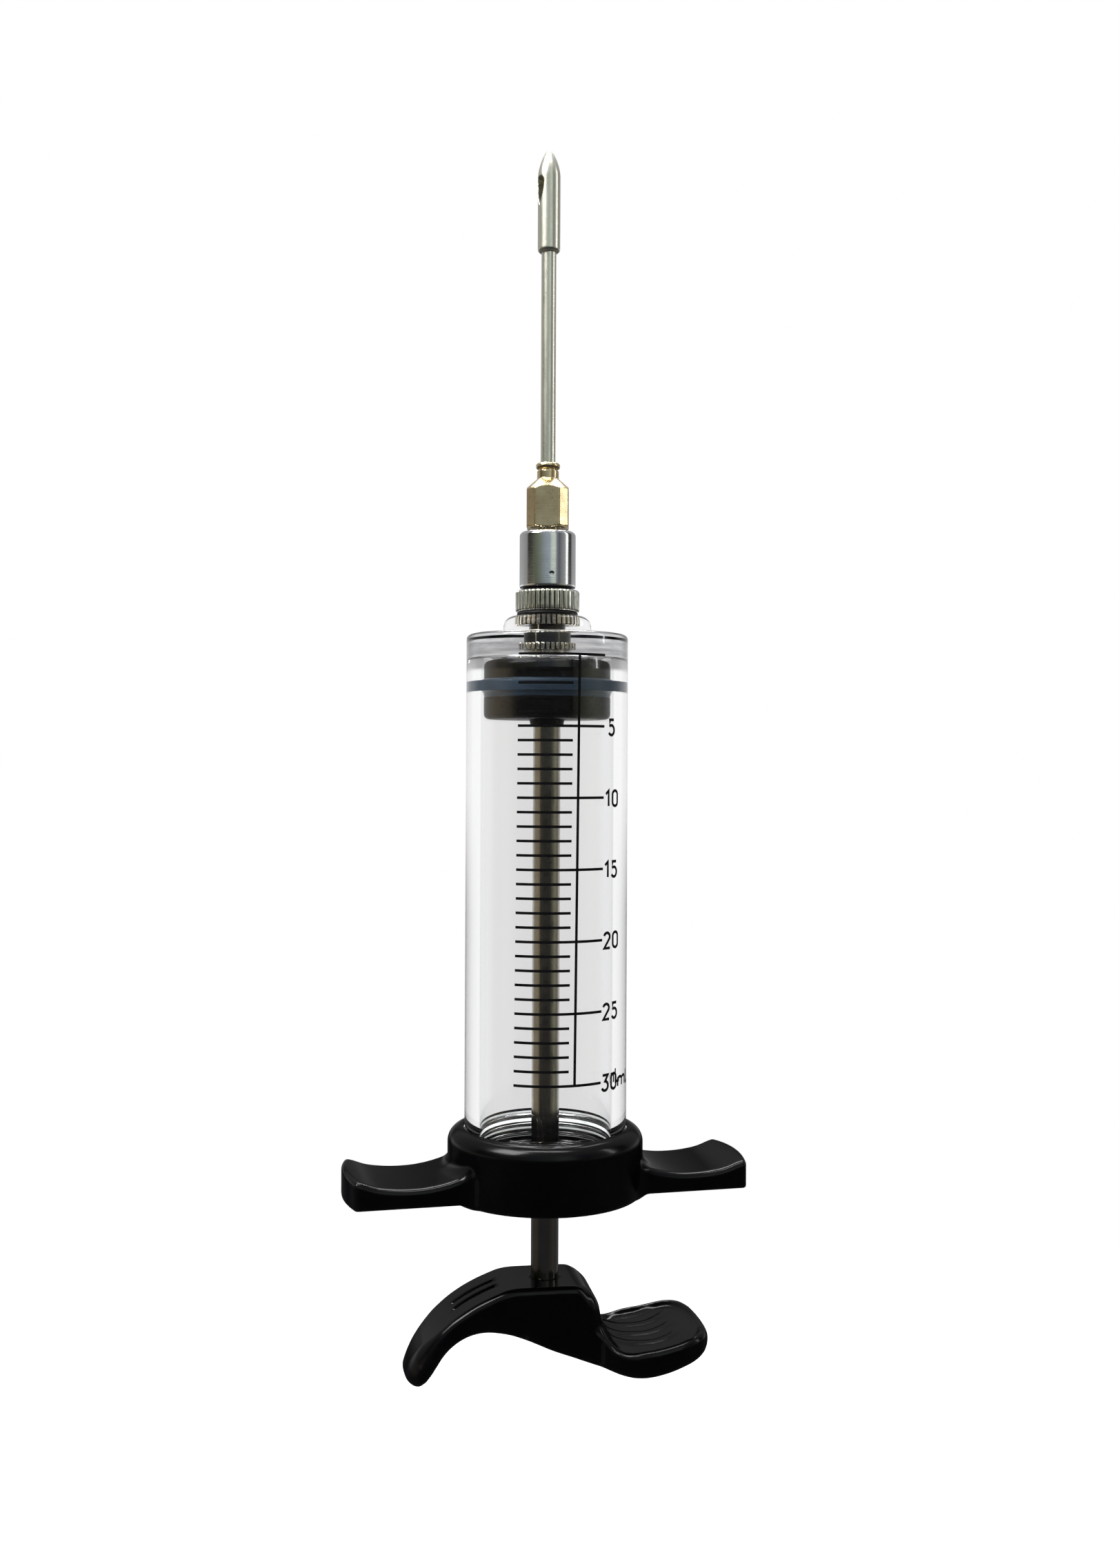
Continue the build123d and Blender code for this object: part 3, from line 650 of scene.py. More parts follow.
def patch(deg0, deg1, z0, z1):
    """Ink strip between two angles and two heights."""
    n = max(2, int(abs(deg1 - deg0) / 1.5) + 1)
    base = len(ink_verts)
    for k in range(n + 1):
        angle = math.radians(-90 + VIEW_AZ + deg0 + (deg1 - deg0) * k / n)
        for r in INK_R:
            for z in (z0, z1):
                ink_point(angle, r, z)
    for k in range(n):
        a, b = base + 4 * k, base + 4 * (k + 1)
        ink_faces.extend([(a + 2, b + 2, b + 3, a + 3), (a, a + 1, b + 1, b),
                          (a + 1, a + 3, b + 3, b + 1), (a, b, b + 2, a + 2)])
    a, b = base, base + 4 * n
    ink_faces.extend([(a, a + 2, a + 3, a + 1), (b, b + 1, b + 3, b + 2)])


def stroke(points, width):
    """Ink line through (arc length, z) points on the unrolled barrel."""
    p = [np.array(q, float) for q in points]
    base = len(ink_verts)
    closed = np.linalg.norm(p[0] - p[-1]) < 1e-6
    if closed:
        p = p[:-1]
    m = len(p)
    for i in range(m):
        before = p[i] - p[i - 1] if closed or i else p[1] - p[0]
        after = p[(i + 1) % m] - p[i] if closed or i + 1 < m else before
        before, after = before / np.linalg.norm(before), after / np.linalg.norm(after)
        normal = np.array([-before[1], before[0]])
        miter = normal + np.array([-after[1], after[0]])
        miter = miter / max(np.linalg.norm(miter), 0.4)
        stretch = 1 / max(0.5, float(miter @ normal))
        for side in (-1, 1):
            q = p[i] + miter * side * width / 2 * stretch
            for r in INK_R:
                ink_point(math.radians(-90 + VIEW_AZ) + q[0] / BARREL_R, r, q[1])
    # per point: 0 right inner, 1 right outer, 2 left inner, 3 left outer
    for i in range(m if closed else m - 1):
        a, b = base + 4 * i, base + 4 * ((i + 1) % m)
        ink_faces.extend([(a + 1, b + 1, b + 3, a + 3), (a, a + 2, b + 2, b),
                          (a, b, b + 1, a + 1), (a + 2, a + 3, b + 3, b + 2)])
    if not closed:
        a, b = base, base + 4 * (m - 1)
        ink_faces.extend([(a, a + 1, a + 3, a + 2), (b, b + 2, b + 3, b + 1)])


# line font on a cell 1 high: advance, then strokes
GLYPHS = {
    "0": (0.52, [oval(0.26, 0.74, 0.26, 0.26, 0, 180)
                 + oval(0.26, 0.26, 0.26, 0.26, 180, 360) + [(0.52, 0.74)]]),
    "1": (0.34, [[(0.02, 0.78), (0.26, 1.0), (0.26, 0.0)]]),
    "2": (0.52, [oval(0.26, 0.74, 0.25, 0.26, 165, -30) + [(0.02, 0.0), (0.53, 0.0)]]),
    "3": (0.50, [[(0.03, 1.0), (0.48, 1.0), (0.24, 0.60)]
                 + oval(0.22, 0.30, 0.27, 0.30, 75, -155, 16)]),
    "5": (0.50, [[(0.46, 1.0), (0.07, 1.0), (0.05, 0.54)]
                 + oval(0.22, 0.32, 0.27, 0.32, 128, -150, 18)]),
    "m": (0.80, [[(0.0, 0.0), (0.0, 0.66)],
                 arc(0.20, 0.46, 0.20, 180, 0, 10) + [(0.40, 0.0)],
                 arc(0.60, 0.46, 0.20, 180, 0, 10) + [(0.80, 0.0)]]),
    "L": (0.46, [[(0.0, 1.0), (0.0, 0.0), (0.46, 0.0)]]),
}


def write(text, start_deg, zc, height, width, gap, widen):
    """Text centred on height zc; gap and widen are in glyph cells."""
    x = math.radians(start_deg) * BARREL_R
    for letter in text:
        advance, lines = GLYPHS[letter]
        for line in lines:
            stroke([(x + px * height * widen, zc - height / 2 + py * height)
                    for px, py in line], width)
        x += (advance + gap) * height * widen


def build_scale():
    tick = 0.45
    tick_start, tick_end, long_end = -19.6, 18.4, 43.8      # degrees
    spine, lean = 22.7, -0.085          # the print leans by this many degrees per mL
    heights = [BORE_TOP - ml * ML_HEIGHT for ml in range(31)]
    for ml, z in enumerate(heights):
        end = tick_end if ml % 5 else long_end
        patch(tick_start + lean * ml, end + lean * ml, z - tick / 2, z + tick / 2)
    stroke([(math.radians(spine + lean * ml) * BARREL_R, z) for ml, z in enumerate(heights)],
           width=0.46)
    for ml in range(5, 31, 5):
        start = 45.0 - 0.11 * (ml - 10) if ml >= 10 else 48.2
        write(str(ml), start, heights[ml] - 0.15, height=2.60, width=0.48, gap=0.30, widen=1.10)
    write("mL", 61.0, heights[30] - 0.15, height=2.30, width=0.50, gap=0.20, widen=1.75)
    dress(make_object("scale_print", ink_verts, ink_faces, sharp_deg=30), INK,
          "barrel")


# ---------------------------------------------------------------------------
# nozzle: insert, gasket, connector, sleeve
# ---------------------------------------------------------------------------
def knurl(angles, count, land):
    """0 on the teeth, rising to 1 mid groove; land is the flat share of a tooth."""
    phase = (angles * count / TAU) % 1.0
    return np.clip((np.abs(phase - 0.5) * 2 - land) / (1 - land), 0, 1)


def build_insert():
    z0, z1, r = INSERT_Z0, INSERT_Z1, INSERT_R
    top_teeth, collar_teeth = 34, 30
    outline = lift([(PASSAGE_R, -0.02), (2.4, -0.02), (2.75, 0.1), (2.75, 1.25), (3.30, 1.30),
                    (3.35, 1.38), (3.35, 2.32), (3.30, 2.40), (2.75, 2.45), (2.75, 5.62),
                    (r - 0.12, 5.70), (r, 5.82)], z0)
    outline += lift([(r, -0.12), (r - 0.10, 0), (2.35, 0), (2.0, -0.35)], z1)
    outline += lift([(2.0, 2.9), (PASSAGE_R, 2.9)], z0)

    def radius_at(angles, r, z):
        if r < 3.2:
            return np.full(angles.shape, r)
        return r - 0.36 * knurl(angles, top_teeth if z > z0 + 5.6 else collar_teeth, 0.45)

    insert = lathe("nozzle_insert_metal", outline, top_teeth * collar_teeth // 2,
                   sharp_deg=22, radius_at=radius_at)
    dress(insert, INSERT_NICKEL, "barrel", "nozzle_insert")
    # the gaps between the teeth are painted dark: painted shade
    recolor(insert, PAINTED_GROOVE_SHADE, lambda radius, z: (
        (z0 + 5.75 < z < z1 - 0.05 and r - 0.42 < radius < r - 0.17)
        or (z0 + 1.3 < z < z0 + 2.4 and 2.95 < radius < 3.18)))


def build_gasket():
    r, z0, z1 = GASKET_R, GASKET_Z0, GASKET_Z1
    outline = [(2.6, z0), (r - 0.2, z0)] + arc(r - 0.25, (z0 + z1) / 2, 0.25, -90, 90, 8)
    outline += [(r - 0.3, z1), (2.6, z1)]
    dress(lathe("nozzle_gasket_ring", outline, 192, sharp_deg=40), GASKET_BLACK,
          "gasket", "nozzle_gasket")


def cone_radius(z):
    """Outside of the connector's tapered cone, which the needle hub sits on."""
    return 2.12 - 0.03 * (z - SLEEVE_Z1)


def build_connector():
    """Knurled ring with a stub below and the cone above."""
    teeth = 40
    ring_r = max(CONNECTOR_R, 5.6)
    ring_z0, ring_z1 = GASKET_Z1 + 0.01, SLEEVE_Z0 - 0.36
    outline = lift([(PASSAGE_R, 0), (1.65, 0), (1.95, 0.3)], CONNECTOR_Z0)
    outline += [(1.95, ring_z0), (ring_r - 0.5, ring_z0)]
    outline += arc(ring_r - 0.42, ring_z0 + 0.42, 0.42, -85, 0, 6)
    outline += steps((ring_r, ring_z0 + 0.42), (ring_r, ring_z1 - 0.5), 4)
    outline += arc(ring_r - 0.5, ring_z1 - 0.5, 0.5, 0, 90, 8)
    outline += lift([(4.62, 0), (4.58, -0.02), (4.22, -0.06), (4.20, 0.04)], ring_z1)
    outline += lift([(4.20, 0.09), (4.28, 0.12), (4.28, 0.6), (3.58, 0.6), (3.58, 5.0),
                     (2.21, 5.0)], SLEEVE_Z0)
    outline += [(cone_radius(SLEEVE_Z1), SLEEVE_Z1), (cone_radius(CONE_TOP - 0.25), CONE_TOP - 0.25)]
    outline += lift([(cone_radius(CONE_TOP) - 0.1, -0.05), (1.72, 0), (0.9, 0),
                     (PASSAGE_R, -0.15)], CONE_TOP)

    def radius_at(angles, r, z):
        if r < 5.0:
            return np.full(angles.shape, r)
        fade = min(1.0, max(0.0, (r - 5.05) / 0.35))
        return r - 0.34 * knurl(angles, teeth, 0.42) ** 1.2 * fade

    connector = lathe("luer_connector_metal", outline, teeth * 12, sharp_deg=24,
                      radius_at=radius_at)
    dress(connector, NICKEL, "connector", "luer_connector")
    # painted shade in the groove under the sleeve, also covering the ring's rounded upper edge
    recolor(connector, PAINTED_GROOVE_SHADE, lambda radius, z: (
        ring_z1 - 0.17 < z < SLEEVE_Z0 + 0.12 and 4.0 < radius < 5.42))


def build_sleeve():
    """Polished sleeve with one small dimple near the viewer."""
    r, z0, z1 = SLEEVE_R, SLEEVE_Z0, SLEEVE_Z1
    foot, foot_r, crown_r = z0 + 0.08, 0.20, 0.85
    dimple_z, dimple_az = z0 + 2.20, math.radians(-90 + VIEW_AZ + 8.5)
    dimple_half_w, dimple_half_h, dimple_depth = 0.45, 0.34, 0.12
    dense = 1.2                         # the wall has closer rows this far each side of it
    wall = [p for p in steps((r, foot + foot_r), (r, z1 - crown_r), 30)
            if abs(p[1] - dimple_z) >= dense]
    wall += [(r, dimple_z - dense + 0.1 * i) for i in range(25)]
    outline = [(4.30, foot)] + arc(r - foot_r, foot + foot_r, foot_r, -90, 0, 5)
    outline += sorted(wall, key=lambda p: p[1])
    outline += arc(r - crown_r, z1 - crown_r, crown_r, 0, 90, 12)
    outline += [(3.42, z1)] + arc(3.42, z1 - 0.30, 0.30, 95, 180, 5)
    outline += lift([(3.12, 5.0), (3.60, 5.0), (3.60, 0.6), (4.30, 0.6)], z0)

    def radius_at(angles, ring_r, z):
        if ring_r < r - 0.02:
            return np.full(angles.shape, ring_r)
        away = (angles - dimple_az + math.pi) % TAU - math.pi
        d = np.hypot(away * r / dimple_half_w, (z - dimple_z) / dimple_half_h)
        return ring_r - dimple_depth * np.clip(1 - d * d, 0, 1)

    dress(lathe("chrome_sleeve_polished", outline, 480, sharp_deg=30, radius_at=radius_at),
          CHROME, "connector", "chrome_sleeve")


# ---------------------------------------------------------------------------
# needle: hub, tube, point
# ---------------------------------------------------------------------------
def build_hub():
    """Square brass body with cut corners and turned ends, and a narrow neck above."""
    chamfer_z = HUB_Z0 + 7.25           # where the body's upper chamfer starts
    half_flats = 3.64
    half_corners = (half_flats + 2.125) / math.sqrt(2)
    turn = math.radians(-15.5)
    neck = [(-4.0, 0.8), (1.90, 0.8), (1.90, 2.85), (1.84, 2.94), (1.68, 2.98), (1.68, 3.18)]
    neck = lift(neck, chamfer_z) + arc(1.54, chamfer_z + 3.76, 0.60, -64, 72, 12)
    neck_distance = outline_distance(neck + [(1.45, HUB_Z1), (-4.0, HUB_Z1)], 0.03, 2.0)

    def field(x, y, z):
        r = np.hypot(x, y)
        u = x * math.cos(turn) + y * math.sin(turn)
        v = -x * math.sin(turn) + y * math.cos(turn)
        flats = np.maximum(np.abs(u), np.abs(v)) - half_flats
        corners = (np.abs(u) + np.abs(v)) / math.sqrt(2) - half_corners
        ends = np.maximum(HUB_Z0 - z, z - (chamfer_z + 1.6))
        body = intersect(intersect(flats, corners, 0.10), ends, 0.08)
        upper = (r - half_flats) * 0.66 + (z - chamfer_z) * 0.751
        lower = (r - (half_flats + 0.10)) * 0.6 + ((HUB_Z0 + 0.02) - z) * 0.8
        body = intersect(body, np.maximum(upper, lower), 0.06)
        body = unite(body, neck_distance(r, z), 0.10)
        socket = np.maximum(r - (cone_radius(z) + 0.03), z - (CONE_TOP + 0.9))
        return cut(cut(body, socket, 0.05), r - (TUBE_R - 0.01), 0.03)

    reach, margin = 4.7, 0.4
    hub = surface_net("needle_hub_brass", field, (-reach, -reach, HUB_Z0 - margin),
                      (reach, reach, HUB_Z1 + margin), 0.11, sharp_deg=26)
    dress(hub, BRASS, "needle", "needle_hub")


def build_tube():
    r, z0, z1, bevel = TUBE_R, TUBE_Z0, TUBE_Z1, 0.1
    outline = [(PASSAGE_R, z0), (r - bevel, z0), (r, z0 + bevel)]
    outline += steps((r, z0 + bevel), (r, z1 - bevel), 60)
    outline += [(r, z1 - bevel), (r - bevel, z1), (PASSAGE_R, z1)]
    dress(lathe("needle_tube_steel", outline, 96, sharp_deg=40), NEEDLE_STEEL,
          "needle", "needle_tube")


def build_point():
    """Ogive tip with a drop-shaped side port."""
    ogive_z = POINT_Z0 + 13.2
    outline = [(-3.0, POINT_Z0), (POINT_R - 0.7, POINT_Z0)]
    outline += arc(POINT_R - 0.62, POINT_Z0 + 0.62, 0.62, -85, 0, 8) + [(POINT_R, ogive_z)]
    for i in range(1, 25):
        t = i / 24
        outline.append((POINT_R * (1 - t ** 1.8) ** 0.97, ogive_z + t * (POINT_Z1 - ogive_z)))
    solid = outline_distance(outline + [(-3.0, POINT_Z1)], 0.03, 2.0)
    port_az = math.radians(196.0)
    port_x, port_y = math.cos(port_az), math.sin(port_az)
    port_r, port_z = 1.05, ogive_z - 1.0
    # left edge of the port's tail, sideways and up
    tail = lift([(-port_r, -1.0), (-0.90, -2.5), (-0.50, -3.9), (0.0, -5.0)], ogive_z)
    drop = arc(0, port_z, port_r, 0, 180, 20) + curve(tail, 8)[1:]
    drop += curve([(-x, z) for x, z in tail[::-1]], 8)[1:-1]
    drop_distance = outline_distance(drop, 0.03, 3.0)

    def field(x, y, z):
        r = np.hypot(x, y)
        across = -x * port_y + y * port_x
        along = x * port_x + y * port_y
        port = np.maximum(drop_distance(across, z), 0.10 - along)
        body = cut(solid(r, z), port, 0.12)
        bore_r = np.where(z < TUBE_Z1 + 0.05, TUBE_R - 0.01, 0.90)
        bore = np.maximum(r - bore_r, np.maximum(z - (ogive_z - 0.9), POINT_Z0 - 1 - z))
        return cut(body, bore, 0.04)

    reach, margin = 2.3, 0.3
    point = surface_net("needle_point_steel", field, (-reach, -reach, POINT_Z0 - margin),
                        (reach, reach, POINT_Z1 + margin), 0.085, sharp_deg=35)
    dress(point, NEEDLE_STEEL, "needle", "needle_point")


# ---------------------------------------------------------------------------
# piston and rod
# ---------------------------------------------------------------------------
SEAL_SEAT_R = 5.0               # core of the upper disc, inside the seal


def build_discs():
    r, bevel, top_r, bottom_r = DISC_R, 0.05, 1.2, 0.85
    front = [(0, GROOVE_Z0), (SEAL_SEAT_R, GROOVE_Z0), (SEAL_SEAT_R, GROOVE_Z1),
             (r - bevel, GROOVE_Z1), (r, GROOVE_Z1 + bevel)]
    front += steps((r, GROOVE_Z1 + bevel), (r, FRONT_Z1 - top_r), 3)
    front += arc(r - top_r, FRONT_Z1 - top_r, top_r, 0, 90, 14) + [(0, FRONT_Z1)]
    dress(lathe("piston_front_disc_black", front, 256, sharp_deg=35), DISC_BLACK,
          "plunger", "piston_front_disc")
    face_z = REAR_Z0 + 1.3              # underside, round the central hub
    rear = [(ROD_R, REAR_Z0), (ROD_R + 0.45, REAR_Z0 + 0.25), (3.05, face_z - 0.15),
            (3.3, face_z), (r - bottom_r, face_z)]
    rear += arc(r - bottom_r, face_z + bottom_r, bottom_r, -90, 0, 12)
    rear += steps((r, face_z + bottom_r), (r, GROOVE_Z0 - bevel), 3)
    rear += [(r, GROOVE_Z0 - bevel), (r - bevel, GROOVE_Z0), (ROD_R, GROOVE_Z0)]
    dress(lathe("piston_rear_disc_black", rear, 256, sharp_deg=35), DISC_BLACK,
          "plunger", "piston_rear_disc")


def build_seal():
    r, z0, z1 = DISC_R, GROOVE_Z0, GROOVE_Z1
    inner_r = SEAL_SEAT_R + 0.06
    lip_r = BORE_R + 0.03               # pressed into optical contact with the wall
    lip_z0, lip_z1 = z0 + 1.10, z1 - 0.42
    below = [(r - 0.12, z0 + 0.02), (r - 0.02, z0 + 0.28), (r + 0.03, z0 + 0.66),
             (r + 0.18, z0 + 0.95), (lip_r, lip_z0)]
    above = [(lip_r, lip_z1), (r + 0.20, lip_z1 + 0.20), (r + 0.02, lip_z1 + 0.33),
             (r - 0.12, z1 - 0.02)]
    outline = [(inner_r, z0 + 0.02), below[0]] + curve(below, 6)[1:]
    outline += steps(below[-1], above[0], 6) + [above[0]] + curve(above, 6)[1:]
    outline += [(inner_r, z1 - 0.02)]
    dress(lathe("piston_seal_silicone", outline, 300, sharp_deg=50), SEAL_BLUE,
          "seal", "piston_seal")


def build_rod():
    bottom, top = (ROD_R, HANDLE_TOP - 2.4), (ROD_R, REAR_Z0 + 2.3)
    outline = [(0, bottom[1]), bottom] + steps(bottom, top, 90) + [top, (0, top[1])]
    dress(lathe("plunger_rod_steel", outline, 160, sharp_deg=40), ROD_STEEL,
          "plunger", "plunger_rod")


# ---------------------------------------------------------------------------
# finger grip
# ---------------------------------------------------------------------------
GRIP_HOLE_R = BARREL_R + 0.08
# upper edge of a wing: distance from the axis, height
WING_TOP = [(9.0, 6.9), (14.5, 6.05), (16.5, 5.35), (18.3, 4.80), (20.7, 4.30), (23.5, 4.03),
            (27.0, 4.10), (30.5, 4.60), (33.0, 5.45), (34.6, 5.86), (38.0, 6.6)]


def build_grip():
    """Round collar with two wings, open above for the barrel."""
    foot_r, top_r = 0.8, 2.60
    collar = [(-30, 0), (GRIP_R - foot_r, 0)] + arc(GRIP_R - foot_r, foot_r, foot_r, -90, 0, 8)
    collar += [(GRIP_R, GRIP_TOP - top_r)]
    collar += arc(GRIP_R - top_r, GRIP_TOP - top_r, top_r, 0, 90, 16) + [(-30, GRIP_TOP)]
    collar_distance = outline_distance(collar, 0.08, 4.0)
    side = [(6.0, -4.0), (40.0, -4.0), (40.0, 6.9)] + curve(WING_TOP, 10)[::-1] + [(6.0, 6.9)]
    side_distance = outline_distance(side, 0.08, 4.0)
    # plan of a wing: its end is a shallow arc between rounded corners
    half_w, corner_r, end_r = 8.6, 0.8, 30.0
    end = [(GRIP_REACH - 0.40 - end_r + end_r * math.cos(math.radians(a)),
            end_r * math.sin(math.radians(a))) for a in np.linspace(-15.6, 15.6, 25)]
    corner_x = end[0][0] - 0.76
    plan = [(2.0, -half_w), (corner_x, -half_w)]
    plan += arc(corner_x, -half_w + corner_r, corner_r, -80, -25, 6) + end
    plan += arc(corner_x, half_w - corner_r, corner_r, 25, 80, 6)
    plan += [(corner_x, half_w), (2.0, half_w)]
    plan_distance = outline_distance(plan, 0.08, 4.0)
    wing_bottom, hole_floor = 0.80, 2.95

    def field(x, y, z):
        r = np.hypot(x, y)
        out = np.abs(x)
        wing = intersect(side_distance(out, z), plan_distance(out, y), 0.95)
        wing = intersect(wing, wing_bottom - z, 0.4)
        body = unite(collar_distance(r, z), wing, 1.6)
        body = cut(body, np.maximum(r - GRIP_HOLE_R, hole_floor - z), 0.22)
        return cut(body, r - (ROD_R + 0.08), 0.25)

    x, y = GRIP_REACH + 0.8, GRIP_R + 0.8
    grip = surface_net("finger_grip_black", field, (-x, -y, -0.9), (x, y, GRIP_TOP + 0.9),
                       NET_STEP, sharp_deg=40)
    dress(grip, BLACK, "finger_grip", "finger_grip")


def build_grip_thread():
    """Ridges inside the collar, seen through the clear wall."""
    land, crest = GRIP_HOLE_R - 0.02, BARREL_R - THREAD_DEPTH + 0.07
    outline = [(GRIP_HOLE_R + 0.3, 3.3)]
    for zc in THREAD_Z:
        outline += lift([(land, -0.42), (crest, -0.06), (crest, 0.06), (land, 0.42)], zc)
    outline += [(land, GRIP_TOP - 0.28), (GRIP_HOLE_R + 0.3, GRIP_TOP - 0.28)]
    dress(lathe("finger_grip_thread", outline, 240, sharp_deg=30), THREAD_PAINTED_GLOW,
          "finger_grip")


# ---------------------------------------------------------------------------
# palm handle: an arm towards -X, a block round the rod, a pad towards +X
# ---------------------------------------------------------------------------
# side view (x, height), the handle's top at -14.85; clockwise from the arm's end
SIDE_TOP = [
    (-24.9, -29.65), (-24.2, -28.1), (-23.1, -26.2), (-21.9, -24.55), (-20.4, -23.0),
    (-18.6, -21.35), (-16.4, -19.5), (-14.0, -17.95), (-12.2, -17.0), (-9.5, -15.85),
    (-7.7, -15.22), (-6.0, -14.92), (-3.0, -14.85), (0.0, -14.85), (3.4, -14.87), (5.0, -15.0),
    (6.3, -15.5), (7.4, -16.4), (8.2, -17.4), (8.7, -18.6), (9.0, -20.2), (9.3, -21.9),
    (9.8, -23.5), (10.7, -24.7), (12.2, -25.35), (13.8, -25.4), (15.8, -25.05), (19.0, -24.6),
    (21.5, -24.1), (23.5, -23.62), (26.0, -23.3), (27.4, -23.45)]
SIDE_PAD_END = [(27.4, -23.45), (28.5, -24.2), (28.8, -25.2), (28.35, -26.2), (27.0, -27.0)]
SIDE_BOTTOM = [
    (27.0, -27.0), (25.0, -27.6), (22.3, -28.4), (19.9, -29.1), (16.7, -29.65), (14.3, -29.75),
    (11.9, -29.5), (9.5, -29.0), (7.6, -28.5), (4.4, -27.3), (0.4, -25.8), (-2.0, -24.7),
    (-4.4, -23.65), (-6.8, -22.8), (-9.2, -22.3), (-10.7, -22.15), (-12.3, -22.25),
    (-13.9, -22.65), (-15.5, -23.4), (-17.0, -24.5), (-18.3, -25.9), (-19.3, -27.5),
    (-20.2, -29.1), (-21.1, -30.5)]
SIDE_ARM_END = [(-21.1, -30.5), (-22.2, -31.35), (-23.4, -31.3), (-24.4, -30.65),
                (-24.9, -29.65)]
SIDE_LIFT = HANDLE_TOP + 14.85
# half plans seen from above (x, y): pad, then the arm's end
ARM_HALF_W, PAD_HALF_W = 7.0, 11.5
PLAN_PAD = [
    (7.0, ARM_HALF_W), (8.4, ARM_HALF_W + 0.3), (9.9, ARM_HALF_W + 1.5),
    (11.6, PAD_HALF_W - 1.6), (13.8, PAD_HALF_W - 0.5), (16.5, PAD_HALF_W),
    (19.5, PAD_HALF_W - 0.1), (22.5, PAD_HALF_W - 0.4), (25.0, PAD_HALF_W - 1.3),
    (26.8, PAD_HALF_W - 3.0), (28.0, PAD_HALF_W - 5.6), (28.6, PAD_HALF_W - 8.4), (28.8, 0.0)]
PLAN_ARM = [(-18.5, ARM_HALF_W), (-21.5, 6.75), (-24.0, 5.75), (-25.8, 3.8), (-26.6, 1.3),
            (-26.7, 0.0)]
RIBS = [(8.1, 17.0), (3.65, 18.0), (-0.95, 18.3), (-5.4, 18.6)]   # y and x of a rib's middle


def smooth01(t):
    t = np.clip(t, 0, 1)
    return t * t * (3 - 2 * t)


def hump(t):
    """1 at 0, falling smoothly to 0 at 1 and beyond."""
    t = np.clip(np.abs(t), 0, 1)
    return (1 - t * t) ** 2


def pad_relief(x, y, z, inset):
    """Height of the pad's upper face: a shallow dish with a raised rim and curved ribs."""
    relief = -0.75 * smooth01((inset - 0.9) / 1.3)
    for y0, x0 in RIBS:
        bend = 0.10
        line = y0 + bend * (x - x0) ** 2
        slope = 2 * bend * (x - x0)
        away = (y - line) / np.sqrt(1 + slope * slope)
        fade = (np.clip((x - 10.6) / 1.6, 0, 1) * np.clip((24.0 - x) / 3.5, 0, 1)
                * np.clip((inset - 1.0) / 1.2, 0, 1))
        relief = relief + 0.24 * hump(away / 1.35) * fade
    on_pad = smooth01((x - 10.4) / 2.0)
    upper = np.clip((z - (-27.6 + SIDE_LIFT)) / 1.2, 0, 1)
    return relief * on_pad * upper


def edge_radius(x, z):
    """The block's upright corners and the arm's end are rounder than the other edges."""
    block = (smooth01((x - 4.5) / 2.5) * smooth01((z - (-24.6 + SIDE_LIFT)) / 2.5)
             * smooth01((12.0 - x) / 2.0))
    return 1.15 + 1.25 * block + 1.5 * smooth01((-18.5 - x) / 4.0)


def arm_grooves(x, y, z):
    """Depth of the two lengthwise grooves on the arm's upper face."""
    on_arm = np.clip((z + 20.6 - SIDE_LIFT) / 1.0, 0, 1) * (x < -5)
    ends = np.clip((x + 16.6) / 0.8, 0, 1) * np.clip((-8.2 - x) / 0.8, 0, 1)
    return 0.45 * hump((np.abs(y) - 1.5) / 0.95) * ends * on_arm


def build_handle():
    turn = math.radians(4.5)            # the handle stands turned a little against the wings
    side = curve(SIDE_TOP, 10) + curve(SIDE_PAD_END, 6)[1:]
    side += curve(SIDE_BOTTOM, 8)[1:] + curve(SIDE_ARM_END, 6)[1:-1]
    side_distance = outline_distance([(x, z + SIDE_LIFT) for x, z in side], 0.06, 4.0)
    pad, arm = curve(PLAN_PAD, 8), curve(PLAN_ARM, 6)
    plan = [(x, -y) for x, y in arm[::-1] + pad] + pad[::-1][1:] + arm[:-1]
    plan_distance = outline_distance(plan, 0.06, 4.0)

    def field(world_x, world_y, z):
        x = world_x * math.cos(turn) - world_y * math.sin(turn)
        y = world_x * math.sin(turn) + world_y * math.cos(turn)
        plan = plan_distance(x, y)
        side = side_distance(x, z) - pad_relief(x, y, z, -plan)
        body = intersect(side, plan, edge_radius(x, z)) + arm_grooves(x, y, z)
        r = np.hypot(world_x, world_y)
        rod_socket = np.maximum(r - ROD_R - 0.02, (HANDLE_TOP - 2.2) - z)
        return cut(body, rod_socket, 0.12)

    margin = np.array([0.9, 1.0, 0.9])
    handle = surface_net("palm_handle_black", field, HANDLE_LO - margin, HANDLE_HI + margin,
                         NET_STEP * 0.93, sharp_deg=45)
    dress(handle, BLACK, "plunger", "palm_handle")


def dress_bushes():
    """The hidden bushes keep their CAD meshes."""
    for node in ("piston_bush", "handle_bush"):
        materials = frame["nodes"][node].data.materials
        materials.clear()
        materials.append(BUSH_BRASS)


# ---------------------------------------------------------------------------
# studio, in metres
# ---------------------------------------------------------------------------
def floor_material():
    """Pale floor that fades out with distance and can't be seen from below."""
    m = Material("pale_floor")
    m.set(Roughness=0.7, Specular_IOR_Level=0.15,
          Base_Color=m.mix(m.span(m.noise(scale=30)), (0.90, 0.90, 0.905), (0.925, 0.925, 0.93)))
    place = m.add("ShaderNodeNewGeometry").outputs
    away = m.add("ShaderNodeVectorMath", {0: place["Position"]}, operation="LENGTH")
    fade = m.span(away.outputs["Value"], over=(0.10, 0.42))
    fade = m.calc("MAXIMUM", fade, place["Backfacing"])
    clear = m.add("ShaderNodeBsdfTransparent")
    mixed = m.add("ShaderNodeMixShader", {0: fade, 1: m.bsdf.outputs[0], 2: clear.outputs[0]})
    m.put(m.out.inputs["Surface"], mixed.outputs[0])
    return m.material


